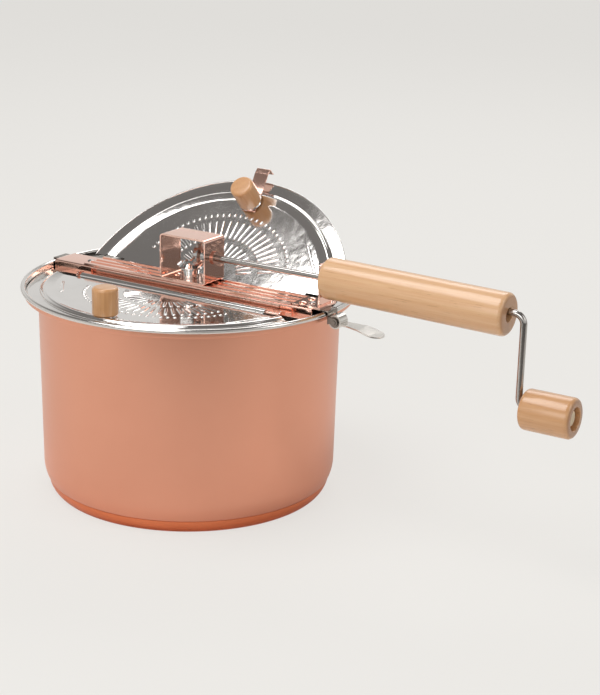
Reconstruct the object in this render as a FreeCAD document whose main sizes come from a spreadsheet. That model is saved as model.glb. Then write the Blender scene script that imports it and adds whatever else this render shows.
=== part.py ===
import FreeCAD, Part
import math
import os
import re
import Sketcher

# Stovetop popcorn popper: a copper-faced pan with two half lids hinged on a crossbar,
# and a hand crank that turns a stirrer through a pair of bevel gears.
# Millimetres. Origin at the centre of the pan's underside, +Z up, +X toward the handle,
# -Y toward the lid that is closed at rest.

os.makedirs("parts", exist_ok=True)
doc = FreeCAD.newDocument("popper")
sheet = doc.addObject("Spreadsheet::Sheet", "Sizes")

# Driving sizes: name and value in millimetres or degrees
SIZES = {
    # Pan
    "wall_top_radius": 111.4,
    "wall_taper": 1.8,
    "pan_corner_radius": 28.0,
    "pan_corner_height": 22.0,
    "pan_sheet": 1.0,
    "seam_height": 9.1,
    "seam_gap": 0.7,
    "disc_lip": 1.2,
    "disc_inset": 7.9,
    "disc_edge_round": 12.0,
    "disc_setback": 0.3,
    "disc_thickness": 5.0,
    "floor_sheet": 1.2,
    "floor_corner_radius": 20.0,
    "ledge_height": 149.8,
    "ledge_width": 9.0,
    "ledge_bend": 2.0,
    "bead_radius": 1.8,
    "bead_rise": 4.4,
    # Crossbar
    "strap_inset": 2.4,
    "strap_width": 37.0,
    "strap_sheet": 1.0,
    "channel_left_inset": 1.4,
    "channel_right_inset": 7.4,
    "channel_width": 24.8,
    "channel_height": 6.3,
    "channel_sheet": 0.8,
    "channel_bend": 1.2,
    "cover_left_inset": 28.5,
    "cover_right_inset": 17.5,
    "cover_width": 24.4,
    "rib_height": 0.8,
    "rib_width": 1.8,
    "inner_rib_offset": 4.2,
    "pip_radius": 1.2,
    "pip_height": 0.5,
    "pip_reach": 46.2,
    "pip_spacing": 11.2,
    "pip_offset": 6.6,
    "rivet_radius": 1.5,
    "rivet_head_radius": 2.8,
    "rivet_head_height": 1.3,
    "rivet_gap": 0.06,
    "crossbar_rivet_inset": 25.5,
    "hook_width": 14.0,
    "hook_sheet": 0.8,
    "hook_drop": 6.5,
    "hook_tongue": 9.0,
    # Hinges
    "hinge_offset": 22.0,
    "hinge_rise": 1.5,
    "hinge_pin_radius": 1.7,
    "hinge_gap": 0.08,
    "lid_tube_radius": 2.8,
    "ear_far_inset": 26.3,
    "ear_near_inset": 33.3,
    "tube_long_inset": 9.6,
    "tube_short_inset": 5.7,
    "ear_thickness": 1.2,
    "ear_radius": 3.5,
    "pin_overhang": 1.2,
    # Lids
    "lid_sheet": 0.6,
    "lid_rim_gap": 3.3,
    "lid_shift": 3.0,
    "flange_rise": 0.8,
    "flange_width": 9.6,
    "crest_slope_width": 1.3,
    "crest_width": 3.6,
    "crest_fall_width": 4.6,
    "crest_outer_rise": 1.8,
    "crest_inner_rise": 2.3,
    "crest_round": 3.4,
    "panel_rise": 1.3,
    "lid_edge_radius": 0.5,
    "lid_notch": 28.0,
    "lid_boss_radius": 7.6,
    "lid_boss_height": 1.4,
    "lid_rib_radius": 1.4,
    "lid_rib_sink": 0.5,
    "rear_lid_angle": 43.5,
    # Lid knobs
    "lid_knob_radius": 9.2,
    "lid_knob_height": 19.5,
    "lid_knob_inset": 20.6,
    "lid_knob_round": 2.4,
    "lid_knob_chamfer": 0.8,
    "knob_screw_radius": 2.0,
    "knob_screw_depth": 12.0,
    "knob_screw_head_radius": 4.0,
    "knob_screw_head_height": 1.6,
    "screw_gap": 0.08,
    # Strip that stands past the edge of the rear lid
    "lid_clip_width": 12.0,
    "lid_clip_sheet": 0.8,
    "lid_clip_tongue": 7.5,
    "lid_clip_inset": 8.1,
    "lid_clip_drop": 5.0,
    "lid_clip_flare": 1.0,
    # Gear bracket
    "bracket_left": 18.9,
    "bracket_right": 21.7,
    "bracket_width": 24.7,
    "bracket_rise": 14.8,
    "bracket_sheet": 1.2,
    "bracket_bend": 2.6,
    "bracket_rivet_left": 12.0,
    "bracket_rivet_right": 14.5,
    # Gears
    "crank_rise": 27.8,
    "gear_pitch_radius": 9.0,
    "gear_teeth": 12,
    "tooth_addendum": 0.9,
    "tooth_dedendum": 1.3,
    "tooth_half_width": 0.82,
    "tooth_flank": 0.36,
    "tooth_root_sink": 0.5,
    "gear_face_share": 0.72,
    "gear_back": 1.3,
    "gear_hub_radius": 6.35,
    "drive_hub_radius": 5.4,
    "drive_hub_end": 18.0,
    "gear_pin_radius": 1.0,
    "washer_thickness": 0.8,
    "turning_gap": 0.1,
    # Stirrer
    "stirrer_shaft_radius": 3.0,
    "stirrer_shaft_bottom": 8.0,
    "bush_radius": 4.6,
    "bush_flange_radius": 7.0,
    "bush_flange_height": 2.0,
    "fit_gap": 0.04,
    "clip_height": 1.0,
    "clip_radius": 5.4,
    "stirrer_hub_radius": 7.0,
    "stirrer_hub_height": 12.0,
    "stirrer_wire_radius": 1.5,
    "stirrer_clearance": 1.5,
    "stirrer_wall_gap": 22.6,
    "stirrer_bend_radius": 9.0,
    "stirrer_bend_angle": 60.0,
    "stirrer_wire_grip": 3.6,
    # Crank
    "crank_rod_radius": 2.38,
    "crank_rod_start": 3.0,
    "crank_arm_gap": 10.6,
    "crank_throw": 64.1,
    "crank_bend_radius": 7.0,
    "crank_rod_inset": 3.7,
    "bushing_radius": 3.6,
    "bushing_flange_radius": 4.8,
    "bushing_flange": 1.5,
    "bushing_length": 4.2,
    "bearing_gap": 0.08,
    # Crank knob
    "crank_knob_gap": 4.5,
    "crank_knob_length": 36.5,
    "crank_knob_radius": 14.1,
    "crank_knob_round": 3.2,
    "counterbore_radius": 8.0,
    "counterbore_depth": 6.0,
    "bend_recess_radius": 4.0,
    "bend_recess_depth": 4.5,
    "cap_radius": 5.6,
    "cap_length": 3.4,
    "cap_round": 1.0,
    # Handle
    "handle_inset": 6.6,
    "handle_length": 141.0,
    "handle_radius": 14.9,
    "handle_round": 3.4,
    "handle_bore_radius": 5.0,
    "handle_axis_rise": 0.6,
    "handle_droop": 1.1,
    "handle_foot_inner": 19.4,
    "handle_foot_outer": 3.6,
    "handle_foot_width": 22.0,
    "handle_foot_sheet": 1.6,
    "handle_web_gap": 2.0,
    "handle_web_width": 16.0,
    "handle_web_rise": 11.4,
    "handle_web_bend": 3.0,
    "handle_rivet_inset": 6.0,
    "handle_rivet_offset": 6.0,
    "handle_screw_offset": 8.6,
    "handle_screw_radius": 1.6,
    "handle_screw_depth": 14.0,
    "handle_screw_head_radius": 2.9,
    "handle_screw_head_height": 1.5,
    # Latch on the handle side of the rim
    "latch_centre": 3.0,
    "latch_pivot_gap": 5.5,
    "latch_pivot_drop": 0.3,
    "latch_curl_radius": 5.0,
    "latch_sheet": 1.0,
    "latch_width": 10.0,
    "latch_tab_width": 16.0,
    "latch_ear_sheet": 1.1,
    "latch_ear_radius": 2.9,
    "latch_side_gap": 0.3,
    "latch_pin_radius": 1.5,
    "latch_pin_overhang": 0.4,
    "latch_tab_reach": 36.4,
    "latch_neck_reach": 10.0,
    "latch_taper_reach": 24.0,
    "latch_rivet_inset": 12.2,
    "latch_rivet_share": 0.8,
    "latch_nose_inset": 1.7,
    "latch_nose_drop": 3.0,
    "clip_sheet": 0.8,
    "clip_tongue": 13.0,
    "clip_rim_gap": 0.2,
    "clip_drop_below": 2.3,
}

# Sizes that follow from the driving ones
DERIVED = {
    # Pan
    "wall_low_radius": "wall_top_radius - wall_taper",
    "ledge_radius": "wall_top_radius + ledge_width",
    "bead_height": "ledge_height + bead_rise",
    "disc_radius": "wall_low_radius - disc_inset",
    "corner_centre": "wall_low_radius - pan_corner_radius",
    "seam_radius": "corner_centre + sqrt(pan_corner_radius^2 - (pan_corner_height - seam_height)^2)",
    "groove_height": "seam_height + seam_gap",
    "groove_radius": "corner_centre + sqrt(pan_corner_radius^2 - (pan_corner_height - groove_height)^2)",
    "seat_radius": "seam_radius - disc_lip",
    "seat_low_radius": "seat_radius - (seam_height - disc_thickness)",
    "floor_height": "disc_thickness + floor_sheet",
    "inner_low_radius": "wall_low_radius - pan_sheet",
    "inner_corner_height": "floor_height + floor_corner_radius",
    "ledge_underside": "ledge_height - pan_sheet",
    "riser_radius": "ledge_radius + pan_sheet",
    "bead_centre": "ledge_radius + bead_radius",
    "bead_low": "bead_height - sqrt(bead_radius^2 - (bead_radius - pan_sheet)^2)",
    "bead_top": "bead_height + bead_radius",
    "rim_radius": "bead_centre + bead_radius",
    # Crossbar
    "strap_length": "2 * (ledge_radius - strap_inset)",
    "strap_top": "ledge_height + strap_sheet",
    "channel_left": "ledge_radius - channel_left_inset",
    "channel_right": "ledge_radius - channel_right_inset",
    "channel_top": "strap_top + channel_height",
    "channel_under": "channel_top - channel_sheet",
    "cover_left": "channel_left - cover_left_inset",
    "cover_right": "channel_right - cover_right_inset",
    "cover_top": "channel_top + channel_sheet",
    "rib_top": "cover_top + rib_height",
    "bracket_floor": "rib_top + bracket_sheet",
    "crossbar_rivet_reach": "channel_left - crossbar_rivet_inset",
    "rivet_hole_radius": "rivet_radius + rivet_gap",
    "rivet_dome": "rivet_head_height * 2 / 3",
    # Hinges and lids
    "hinge_height": "ledge_height + hinge_rise",
    "ear_far_reach": "ledge_radius - ear_far_inset",
    "ear_near_reach": "ledge_radius - ear_near_inset",
    "tube_long_reach": "ear_far_reach - tube_long_inset",
    "tube_short_reach": "ear_near_reach - tube_short_inset",
    "tube_bore": "hinge_pin_radius + hinge_gap",
    "lid_radius": "ledge_radius - lid_rim_gap",
    "flange_inner_radius": "lid_radius - flange_width",
    "crest_outer_radius": "flange_inner_radius - crest_slope_width",
    "crest_inner_radius": "crest_outer_radius - crest_width",
    "panel_radius": "crest_inner_radius - crest_fall_width",
    "flange_height": "ledge_height + flange_rise",
    "crest_outer_height": "flange_height + crest_outer_rise",
    "crest_inner_height": "flange_height + crest_inner_rise",
    "panel_height": "flange_height + panel_rise",
    "lid_boss_top": "panel_height + lid_boss_height",
    "panel_under": "panel_height - lid_sheet",
    "lid_knob_reach": "lid_radius - lid_knob_inset",
    "lid_clip_inner": "lid_knob_reach - lid_clip_tongue",
    "lid_clip_rise": "lid_radius - lid_clip_inset",
    "clip_over_rim": "bead_top + 4 * clip_rim_gap",
    "knob_screw_hole": "knob_screw_radius + screw_gap",
    # Gears and stirrer
    "crank_height": "ledge_height + crank_rise",
    "bracket_top": "crank_height + bracket_rise",
    "hub_bottom": "bracket_floor + washer_thickness + turning_gap",
    "tooth_root_drop": "tooth_dedendum / sqrt(2)",
    "gear_root_radius": "gear_pitch_radius - tooth_root_drop",
    "gear_root_depth": "gear_pitch_radius + tooth_root_drop",
    "shaft_bore": "stirrer_shaft_radius + fit_gap",
    "shaft_top": "crank_height - gear_root_depth * gear_face_share",
    "shaft_bearing": "stirrer_shaft_radius + bearing_gap",
    "bush_bottom": "ledge_height - bush_flange_height",
    "wire_height": "floor_height + stirrer_clearance + stirrer_wire_radius",
    "stirrer_reach": "inner_low_radius - stirrer_wall_gap",
    # Handle and crank
    "foot_top": "channel_top + handle_foot_sheet",
    "handle_left": "rim_radius - handle_inset",
    "handle_web_left": "handle_left - handle_web_gap",
    "handle_web_top": "crank_height + handle_web_rise",
    "handle_foot_left": "handle_web_left - handle_foot_inner",
    "handle_foot_right": "handle_web_left + handle_foot_outer",
    "handle_rivet_left": "handle_foot_left + handle_rivet_inset",
    "handle_axis_height": "crank_height + handle_axis_rise",
    "rod_bore": "crank_rod_radius + fit_gap",
    "rod_bearing": "crank_rod_radius + bearing_gap",
    "crank_arm_reach": "handle_left + handle_length + crank_arm_gap",
    "crank_knob_left": "crank_arm_reach + crank_knob_gap",
    "crank_knob_right": "crank_knob_left + crank_knob_length",
    "crank_rod_end": "crank_knob_right - crank_rod_inset",
    "knob_height": "crank_height - crank_throw",
    # Latch
    "latch_pivot_reach": "rim_radius + latch_pivot_gap",
    "latch_pivot_height": "ledge_height - latch_pivot_drop",
    "latch_nose_left": "rim_radius - latch_nose_inset",
    "latch_nose_height": "bead_height - latch_nose_drop",
    "latch_rivet_reach": "handle_foot_left + latch_rivet_inset",
    "latch_ear_reach": "latch_width / 2 + latch_side_gap",
    "clip_outer": "rim_radius + clip_rim_gap",
    "clip_top": "bead_top + clip_rim_gap",
    "clip_drop": "ledge_height - clip_drop_below",
}

formulas = [(name, "=" + text) for name, text in DERIVED.items()]
for row, (name, value) in enumerate(list(SIZES.items()) + formulas, 1):
    sheet.set("A%d" % row, name)
    sheet.set("B%d" % row, str(value))
    sheet.setAlias("B%d" % row, name)
doc.recompute()

ALIAS = re.compile(r"\b[a-z]\w*\b(?!\s*\()")
TURNS = {
    "x": FreeCAD.Rotation(FreeCAD.Vector(0, 1, 0), 90),
    "y": FreeCAD.Rotation(FreeCAD.Vector(1, 0, 0), -90),
    "z": FreeCAD.Rotation(),
    "-x": FreeCAD.Rotation(FreeCAD.Vector(0, 1, 0), -90),
}
X_AXIS = FreeCAD.Vector(1, 0, 0)
Y_AXIS = FreeCAD.Vector(0, 1, 0)
Z_AXIS = FreeCAD.Vector(0, 0, 1)


def size(text):
    """Return the number that an expression of sheet sizes comes to."""
    value = sheet.evalExpression(text)
    return float(getattr(value, "Value", value))


def bind(item, path, text):
    """Tie one property of an object to an expression of sheet sizes."""
    item.setExpression(path, ALIAS.sub(lambda found: "Sizes." + found.group(0), text))


def place(item, at, along="z"):
    """Put an object at a point given as expressions, with its Z axis along the named axis."""
    item.Placement = FreeCAD.Placement(FreeCAD.Vector(*[size(text) for text in at]), TURNS[along])
    for letter, text in zip("xyz", at):
        bind(item, "Placement.Base." + letter, text)
    return item


def cylinder(name, radius, length, at=("0", "0", "0"), along="z"):
    """A round bar from a point along an axis."""
    item = doc.addObject("Part::Cylinder", name)
    bind(item, "Radius", radius)
    bind(item, "Height", length)
    return place(item, at, along)


def box(name, corner, extent):
    """A box from its lowest corner, with the three lengths of its sides."""
    item = doc.addObject("Part::Box", name)
    for side, text in zip(("Length", "Width", "Height"), extent):
        bind(item, side, text)
    return place(item, corner)


def torus_part(name, ring, wire, sweep, at, rotation):
    """Part of a ring of round wire that starts on the turned X axis."""
    item = doc.addObject("Part::Torus", name)
    bind(item, "Radius1", ring)
    bind(item, "Radius2", wire)
    bind(item, "Angle3", sweep)
    place(item, at)
    item.Placement = FreeCAD.Placement(item.Placement.Base, rotation)
    return item


def fuse(name, items):
    """Join several solids into one piece."""
    item = doc.addObject("Part::MultiFuse", name)
    item.Shapes = items
    item.Refine = True
    return item


def cut(name, base, tools):
    """Take one or more solids away from a piece."""
    item = doc.addObject("Part::Cut", name)
    item.Base = base
    item.Tool = tools[0] if len(tools) == 1 else fuse(name + "_tools", tools)
    return item


def group(name, items):
    """Hold identical separate solids together in one node."""
    item = doc.addObject("Part::Compound", name)
    item.Links = items
    return item


def rounded(name, base, radius, chooses):
    """Round the edges that a test picks, given each edge's middle and direction."""
    doc.recompute()
    item = doc.addObject("Part::Fillet", name)
    item.Base = base
    amount = size(radius)
    picked = []
    for number, edge in enumerate(base.Shape.Edges, 1):
        middle = edge.valueAt((edge.FirstParameter + edge.LastParameter) / 2)
        heading = edge.tangentAt((edge.FirstParameter + edge.LastParameter) / 2)
        if chooses(middle, heading):
            picked.append((number, amount, amount))
    item.Edges = picked
    return item


def frozen(name, shape):
    """A piece whose shape comes straight from the geometry functions."""
    item = doc.addObject("Part::Feature", name)
    item.Shape = shape
    return item


def origin_plane(body, role):
    """Find one of a body's own origin planes by its role."""
    return [plane for plane in body.Origin.OriginFeatures if plane.Role == role][0]


def arc_between(start, end, radius):
    """The short arc from start to end; a negative radius bends it to the right."""
    chord = end - start
    middle = (start + end) / 2
    rise = math.sqrt(max(radius * radius - chord.Length * chord.Length / 4, 0))
    side = FreeCAD.Vector(-chord.y, chord.x, 0).normalize()
    centre = middle + side * math.copysign(rise, radius)
    first, last = (start, end) if radius > 0 else (end, start)
    angles = [math.atan2(spot.y - centre.y, spot.x - centre.x) for spot in (first, last)]
    return Part.ArcOfCircle(Part.Circle(centre, Z_AXIS, abs(radius)), *angles)


def draw_outline(sketch, outline):
    """Draw a closed outline of corners (across, up) or (across, up, arc radius to the next corner)."""
    spots = [FreeCAD.Vector(size(corner[0]), size(corner[1]), 0) for corner in outline]
    ends = []
    for index, corner in enumerate(outline):
        start = spots[index]
        end = spots[(index + 1) % len(spots)]
        if len(corner) == 2:
            sketch.addGeometry(Part.LineSegment(start, end))
            ends.append((1, 2))
            continue
        radius = size(corner[2])
        sketch.addGeometry(arc_between(start, end, radius))
        ends.append((1, 2) if radius > 0 else (2, 1))
    for index, corner in enumerate(outline):
        following = (index + 1) % len(outline)
        sketch.addConstraint(
            Sketcher.Constraint("Coincident", index, ends[index][1], following, ends[following][0])
        )
        for kind, axis, text, value in (
            ("DistanceX", -2, corner[0], spots[index].x),
            ("DistanceY", -1, corner[1], spots[index].y),
        ):
            if text == "0":
                sketch.addConstraint(Sketcher.Constraint("PointOnObject", index, ends[index][0], axis))
                continue
            number = sketch.addConstraint(
                Sketcher.Constraint(kind, -1, 1, index, ends[index][0], value)
            )
            bind(sketch, "Constraints[%d]" % number, text)
        if len(corner) == 3:
            number = sketch.addConstraint(
                Sketcher.Constraint("Radius", index, abs(size(corner[2])))
            )
            bind(sketch, "Constraints[%d]" % number, corner[2].lstrip("-"))


def sketched(name, role, outline):
    """A body that holds one sketch on an origin plane."""
    body = doc.addObject("PartDesign::Body", name)
    sketch = body.newObject("Sketcher::SketchObject", name + "_outline")
    sketch.AttachmentSupport = (origin_plane(body, role), [""])
    sketch.MapMode = "FlatFace"
    draw_outline(sketch, outline)
    return body, sketch


def turned(name, outline):
    """A piece turned about its Z axis from an outline of (radius, height)."""
    body, sketch = sketched(name, "XZ_Plane", outline)
    turn = body.newObject("PartDesign::Revolution", name + "_turn")
    turn.Profile = sketch
    turn.ReferenceAxis = (sketch, ["V_Axis"])
    turn.Angle = 360
    sketch.Visibility = False
    return body


def plate(name, outline, low, thickness):
    """A flat plate of an outline seen from above, from a height upward."""
    body, sketch = sketched(name, "XY_Plane", outline)
    pad = body.newObject("PartDesign::Pad", name + "_pad")
    pad.Profile = sketch
    bind(pad, "Length", thickness)
    sketch.Visibility = False
    return place(body, ("0", "0", low))


def bent_strip(name, path, sheet_size, width, across, plane="xz"):
    """Sheet metal bent along a path of (along, up); the sheet lies to the left of the path."""
    spots = []
    for along, height in path:
        if plane == "xz":
            spots.append(FreeCAD.Vector(size(along), size(across) - size(width) / 2, size(height)))
        else:
            spots.append(FreeCAD.Vector(size(across) - size(width) / 2, size(along), size(height)))
    wire = Part.makePolygon(spots)
    face = wire.makeOffset2D(size(sheet_size), 0, True, True)
    heading = Y_AXIS if plane == "xz" else X_AXIS
    return frozen(name, face.extrude(heading * size(width)))


def rivet(name, at_x, at_y, seat, tail, head_radius="rivet_head_radius"):
    """A domed rivet with its head on a seat and its shank down to a tail height."""
    dome_radius = "((%s)^2 + rivet_dome^2) / (2 * rivet_dome)" % head_radius
    outline = [
        ("0", tail),
        ("rivet_radius", tail),
        ("rivet_radius", seat),
        (head_radius, seat),
        (head_radius, seat + " + rivet_head_height - rivet_dome", dome_radius),
        ("0", seat + " + rivet_head_height"),
    ]
    return place(turned(name, outline), (at_x, at_y, "0"))


def rivet_hole(name, at_x, at_y):
    """The hole for a rivet, long enough for every sheet of the crossbar."""
    return cylinder(name, "rivet_hole_radius", "foot_top", (at_x, at_y, "ledge_height / 2"))


# Pan
def make_pan():
    outline = [
        ("0", "disc_thickness"),
        ("seat_low_radius", "disc_thickness"),
        ("seat_radius", "seam_height"),
        ("seat_radius", "groove_height"),
        ("groove_radius", "groove_height", "pan_corner_radius"),
        ("wall_low_radius", "pan_corner_height"),
        ("wall_top_radius", "ledge_underside - ledge_bend", "-ledge_bend"),
        ("wall_top_radius + ledge_bend", "ledge_underside"),
        ("riser_radius", "ledge_underside"),
        ("riser_radius", "bead_low", "bead_radius"),
        ("rim_radius", "bead_height", "bead_radius"),
        ("bead_centre", "bead_top", "bead_radius"),
        ("ledge_radius", "bead_height"),
        ("ledge_radius", "ledge_height"),
        ("wall_top_radius", "ledge_height", "pan_sheet"),
        ("wall_top_radius - pan_sheet", "ledge_underside"),
        ("inner_low_radius", "inner_corner_height", "-floor_corner_radius"),
        ("inner_low_radius - floor_corner_radius", "floor_height"),
        ("0", "floor_height"),
    ]
    return turned("pan_shell", outline)


def make_base_disc():
    outline = [
        ("0", "0"),
        ("disc_radius", "0", "disc_edge_round"),
        ("seam_radius - disc_setback", "seam_height"),
        ("seat_radius", "seam_height"),
        ("seat_low_radius", "disc_thickness"),
        ("0", "disc_thickness"),
    ]
    return turned("base_disc", outline)


# Crossbar
def hinge_ears(name, side):
    """Two ears folded up from one edge of the strap, bored for the hinge pin."""
    pieces = []
    for number, reach in enumerate(("-ear_far_reach", "ear_near_reach")):
        centre = reach if side > 0 else ("ear_far_reach" if number == 0 else "-ear_near_reach")
        start = centre + " - ear_thickness / 2"
        row = "hinge_offset" if side > 0 else "-hinge_offset"
        label = "%s_%d" % (name, number)
        disc = cylinder(
            label + "_disc", "ear_radius", "ear_thickness", (start, row, "hinge_height"), "x",
        )
        low = "strap_width / 2 - strap_sheet" if side > 0 else "-hinge_offset"
        fold = box(
            label + "_fold",
            (start, low, "ledge_height"),
            (
                "ear_thickness",
                "hinge_offset - strap_width / 2 + strap_sheet",
                "ear_radius + strap_sheet",
            ),
        )
        pieces += [disc, fold]
    return pieces


def make_strap():
    plate = box(
        "strap_plate",
        ("-strap_length / 2", "-strap_width / 2", "ledge_height"),
        ("strap_length", "strap_width", "strap_sheet"),
    )
    solid = fuse("strap_solid", [plate] + hinge_ears("rear_ear", 1) + hinge_ears("front_ear", -1))
    holes = [
        cylinder(
            "strap_front_bore",
            "tube_bore",
            "strap_length",
            ("-strap_length / 2", "-hinge_offset", "hinge_height"),
            "x",
        ),
        cylinder(
            "strap_rear_bore",
            "tube_bore",
            "strap_length",
            ("-strap_length / 2", "hinge_offset", "hinge_height"),
            "x",
        ),
        cylinder(
            "strap_bush_hole", "bush_radius + fit_gap", "ledge_height", ("0", "0", "ledge_height / 2"),
        ),
        rivet_hole("strap_rivet_hole", "-crossbar_rivet_reach", "0"),
    ]
    return cut("crossbar_strap", solid, holes)


def make_channel():
    outer = box(
        "channel_outer",
        ("-channel_left", "-channel_width / 2", "strap_top"),
        ("channel_left + channel_right", "channel_width", "channel_height"),
    )
    soft = rounded(
        "channel_soft",
        outer,
        "channel_bend",
        lambda spot,
        way: abs(way.x) > 0.9 and spot.z > size("channel_under"),
    )
    inner = box(
        "channel_inner",
        ("-channel_left", "-channel_width / 2 + channel_sheet", "strap_top"),
        (
            "channel_left + channel_right",
            "channel_width - 2 * channel_sheet",
            "channel_height - channel_sheet",
        ),
    )
    holes = [
        inner,
        cylinder(
            "channel_bush_hole",
            "bush_radius + fit_gap",
            "ledge_height",
            ("0", "0", "ledge_height / 2"),
        ),
    ]
    for label, reach, offset in TOP_RIVETS:
        holes.append(rivet_hole("channel_hole_" + label, reach, offset))
    return cut("crossbar_channel", soft, holes)


TOP_RIVETS = (
    ("end", "-crossbar_rivet_reach", "0"),
    ("left", "-bracket_rivet_left", "0"),
    ("right", "bracket_rivet_right", "0"),
    ("front", "handle_rivet_left", "-handle_rivet_offset"),
    ("rear", "handle_rivet_left", "handle_rivet_offset"),
    ("latch", "latch_rivet_reach", "-latch_centre"),
)
PIPS = (
    ("-pip_reach", "-pip_offset"),
    ("-pip_reach", "pip_offset"),
    ("pip_spacing - pip_reach", "-pip_offset"),
)


def make_cover():
    """Ribbed strip over the crossbar, with folded edges and small pips."""
    start = "-cover_left"
    length = "cover_left + cover_right"
    pieces = [
        box(
            "cover_plate",
            (start, "-cover_width / 2", "channel_top"),
            (length, "cover_width", "channel_sheet"),
        ),
    ]
    rows = (
        "-cover_width / 2",
        "-inner_rib_offset",
        "inner_rib_offset - rib_width",
        "cover_width / 2 - rib_width",
    )
    for number, low in enumerate(rows):
        rib = box(
            "cover_rib_%d" % number,
            (start, low, "channel_top"),
            (length, "rib_width", "channel_sheet + rib_height"),
        )
        pieces.append(rib)
    for number, (along, across) in enumerate(PIPS):
        pip = cylinder(
            "cover_pip_%d" % number,
            "pip_radius",
            "channel_sheet + pip_height",
            (along, across, "channel_top"),
        )
        pieces.append(pip)
    solid = fuse("cover_solid", pieces)
    holes = [
        cylinder(
            "cover_bush_hole", "bush_radius + fit_gap", "ledge_height", ("0", "0", "ledge_height / 2"),
        )
    ]
    for label, reach, offset in TOP_RIVETS[1:3]:
        holes.append(rivet_hole("cover_hole_" + label, reach, offset))
    return cut("crossbar_cover", solid, holes)


def make_crossbar_rivet():
    return rivet(
        "crossbar_rivet", "-crossbar_rivet_reach", "0", "channel_top", "ledge_height - rivet_gap",
    )


def make_rim_hook():
    """Strip under the left end of the channel that steps up over the bead and down outside."""
    path = [
        ("-channel_left + hook_tongue", "channel_under - hook_sheet - clip_rim_gap / 2"),
        ("-channel_left - clip_rim_gap", "channel_under - hook_sheet - clip_rim_gap / 2"),
        ("-channel_left - hook_sheet - 2 * clip_rim_gap", "clip_top"),
        ("-clip_outer", "clip_top"),
        ("-clip_outer", "clip_top - hook_drop"),
    ]
    return bent_strip("rim_hook", path, "-hook_sheet", "hook_width", "0")


# Gears and their bracket
def make_gear_bracket():
    outer = box(
        "bracket_outer",
        ("-bracket_left", "-bracket_width / 2", "rib_top"),
        ("bracket_left + bracket_right", "bracket_width", "bracket_top - rib_top"),
    )
    soft = rounded("bracket_soft", outer, "bracket_bend", lambda spot, way: abs(way.y) > 0.9)
    inner = box(
        "bracket_inner",
        ("-bracket_left + bracket_sheet", "-bracket_width / 2", "bracket_floor"),
        (
            "bracket_left + bracket_right - 2 * bracket_sheet",
            "bracket_width",
            "bracket_top - bracket_sheet - bracket_floor",
        ),
    )
    inner_soft = rounded(
        "bracket_inner_soft", inner, "bracket_bend - bracket_sheet", lambda spot, way: abs(way.y) > 0.9,
    )
    holes = [
        inner_soft,
        cylinder(
            "bracket_bush_hole",
            "bush_radius + fit_gap",
            "ledge_height",
            ("0", "0", "ledge_height / 2"),
        ),
        cylinder(
            "bracket_crank_hole",
            "bushing_radius + fit_gap",
            "bracket_right",
            ("bracket_right / 2", "0", "crank_height"),
            "x",
        ),
    ]
    low_hole = cut("bracket_low_tools", holes[1], [box(
        "bracket_hole_limit", ("-bracket_left", "-bracket_width / 2", "bracket_floor"),
        ("2 * bracket_left", "bracket_width", "ledge_height"),
    )])
    holes[1] = low_hole
    for label, reach, offset in TOP_RIVETS[1:3]:
        hole = cylinder(
            "bracket_hole_" + label,
            "rivet_hole_radius",
            "bracket_floor - ledge_height",
            (reach, offset, "ledge_height"),
        )
        holes.append(hole)
    return cut("gear_bracket", soft, holes)


def make_bracket_rivets():
    left = rivet(
        "bracket_rivet_a", "-bracket_rivet_left", "0", "bracket_floor", "channel_under - rivet_gap",
    )
    right = rivet(
        "bracket_rivet_b", "bracket_rivet_right", "0", "bracket_floor", "channel_under - rivet_gap",
    )
    return group("bracket_rivets", [left, right])


def make_crank_bushing():
    outline = [
        ("rod_bearing", "0"),
        ("bushing_radius", "0"),
        ("bushing_radius", "bushing_length - bushing_flange"),
        ("bushing_flange_radius", "bushing_length - bushing_flange"),
        ("bushing_flange_radius", "bushing_length"),
        ("rod_bearing", "bushing_length"),
    ]
    at = ("bracket_right - bushing_length + bushing_flange", "0", "crank_height")
    return place(turned("crank_bushing", outline), at, "x")


def tooth(scale):
    """The four corners of a tooth across its length, with the gear's apex at the origin."""
    root = size("tooth_dedendum + tooth_root_sink")
    tip = size("tooth_addendum")
    middle = size("tooth_half_width")
    flank = size("tooth_flank")
    pitch = size("gear_pitch_radius")
    corners = []
    for rise, side in ((-root, -1), (-root, 1), (tip, 1), (tip, -1)):
        out = pitch + rise / math.sqrt(2)
        drop = -pitch + rise / math.sqrt(2)
        corners.append(FreeCAD.Vector(out, side * (middle - flank * rise), drop) * scale)
    return Part.makePolygon(corners + [corners[0]])


def bevel_gear(name, hub_radius, hub_depth, bore, phase):
    """A bevel gear that hangs below its apex, with its hub downward."""
    outline = [
        (bore, "-(" + hub_depth + ")"),
        (hub_radius, "-(" + hub_depth + ")"),
        (hub_radius, "-gear_root_depth - gear_back - (gear_root_radius - " + hub_radius + ") / 2"),
        ("gear_root_radius", "-gear_root_depth - gear_back"),
        ("gear_root_radius", "-gear_root_depth"),
        ("gear_root_radius * gear_face_share", "-gear_root_depth * gear_face_share"),
        (bore, "-gear_root_depth * gear_face_share"),
    ]
    blank = turned(name + "_blank", outline)
    one = Part.makeLoft([tooth(1.0), tooth(size("gear_face_share"))], True, True)
    count = int(size("gear_teeth"))
    pieces = [blank]
    for number in range(count):
        turned_tooth = one.copy()
        turned_tooth.rotate(FreeCAD.Vector(), Z_AXIS, (number + phase) * 360.0 / count)
        pieces.append(frozen("%s_tooth_%d" % (name, number), turned_tooth))
    return fuse(name + "_toothed", pieces)


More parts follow.
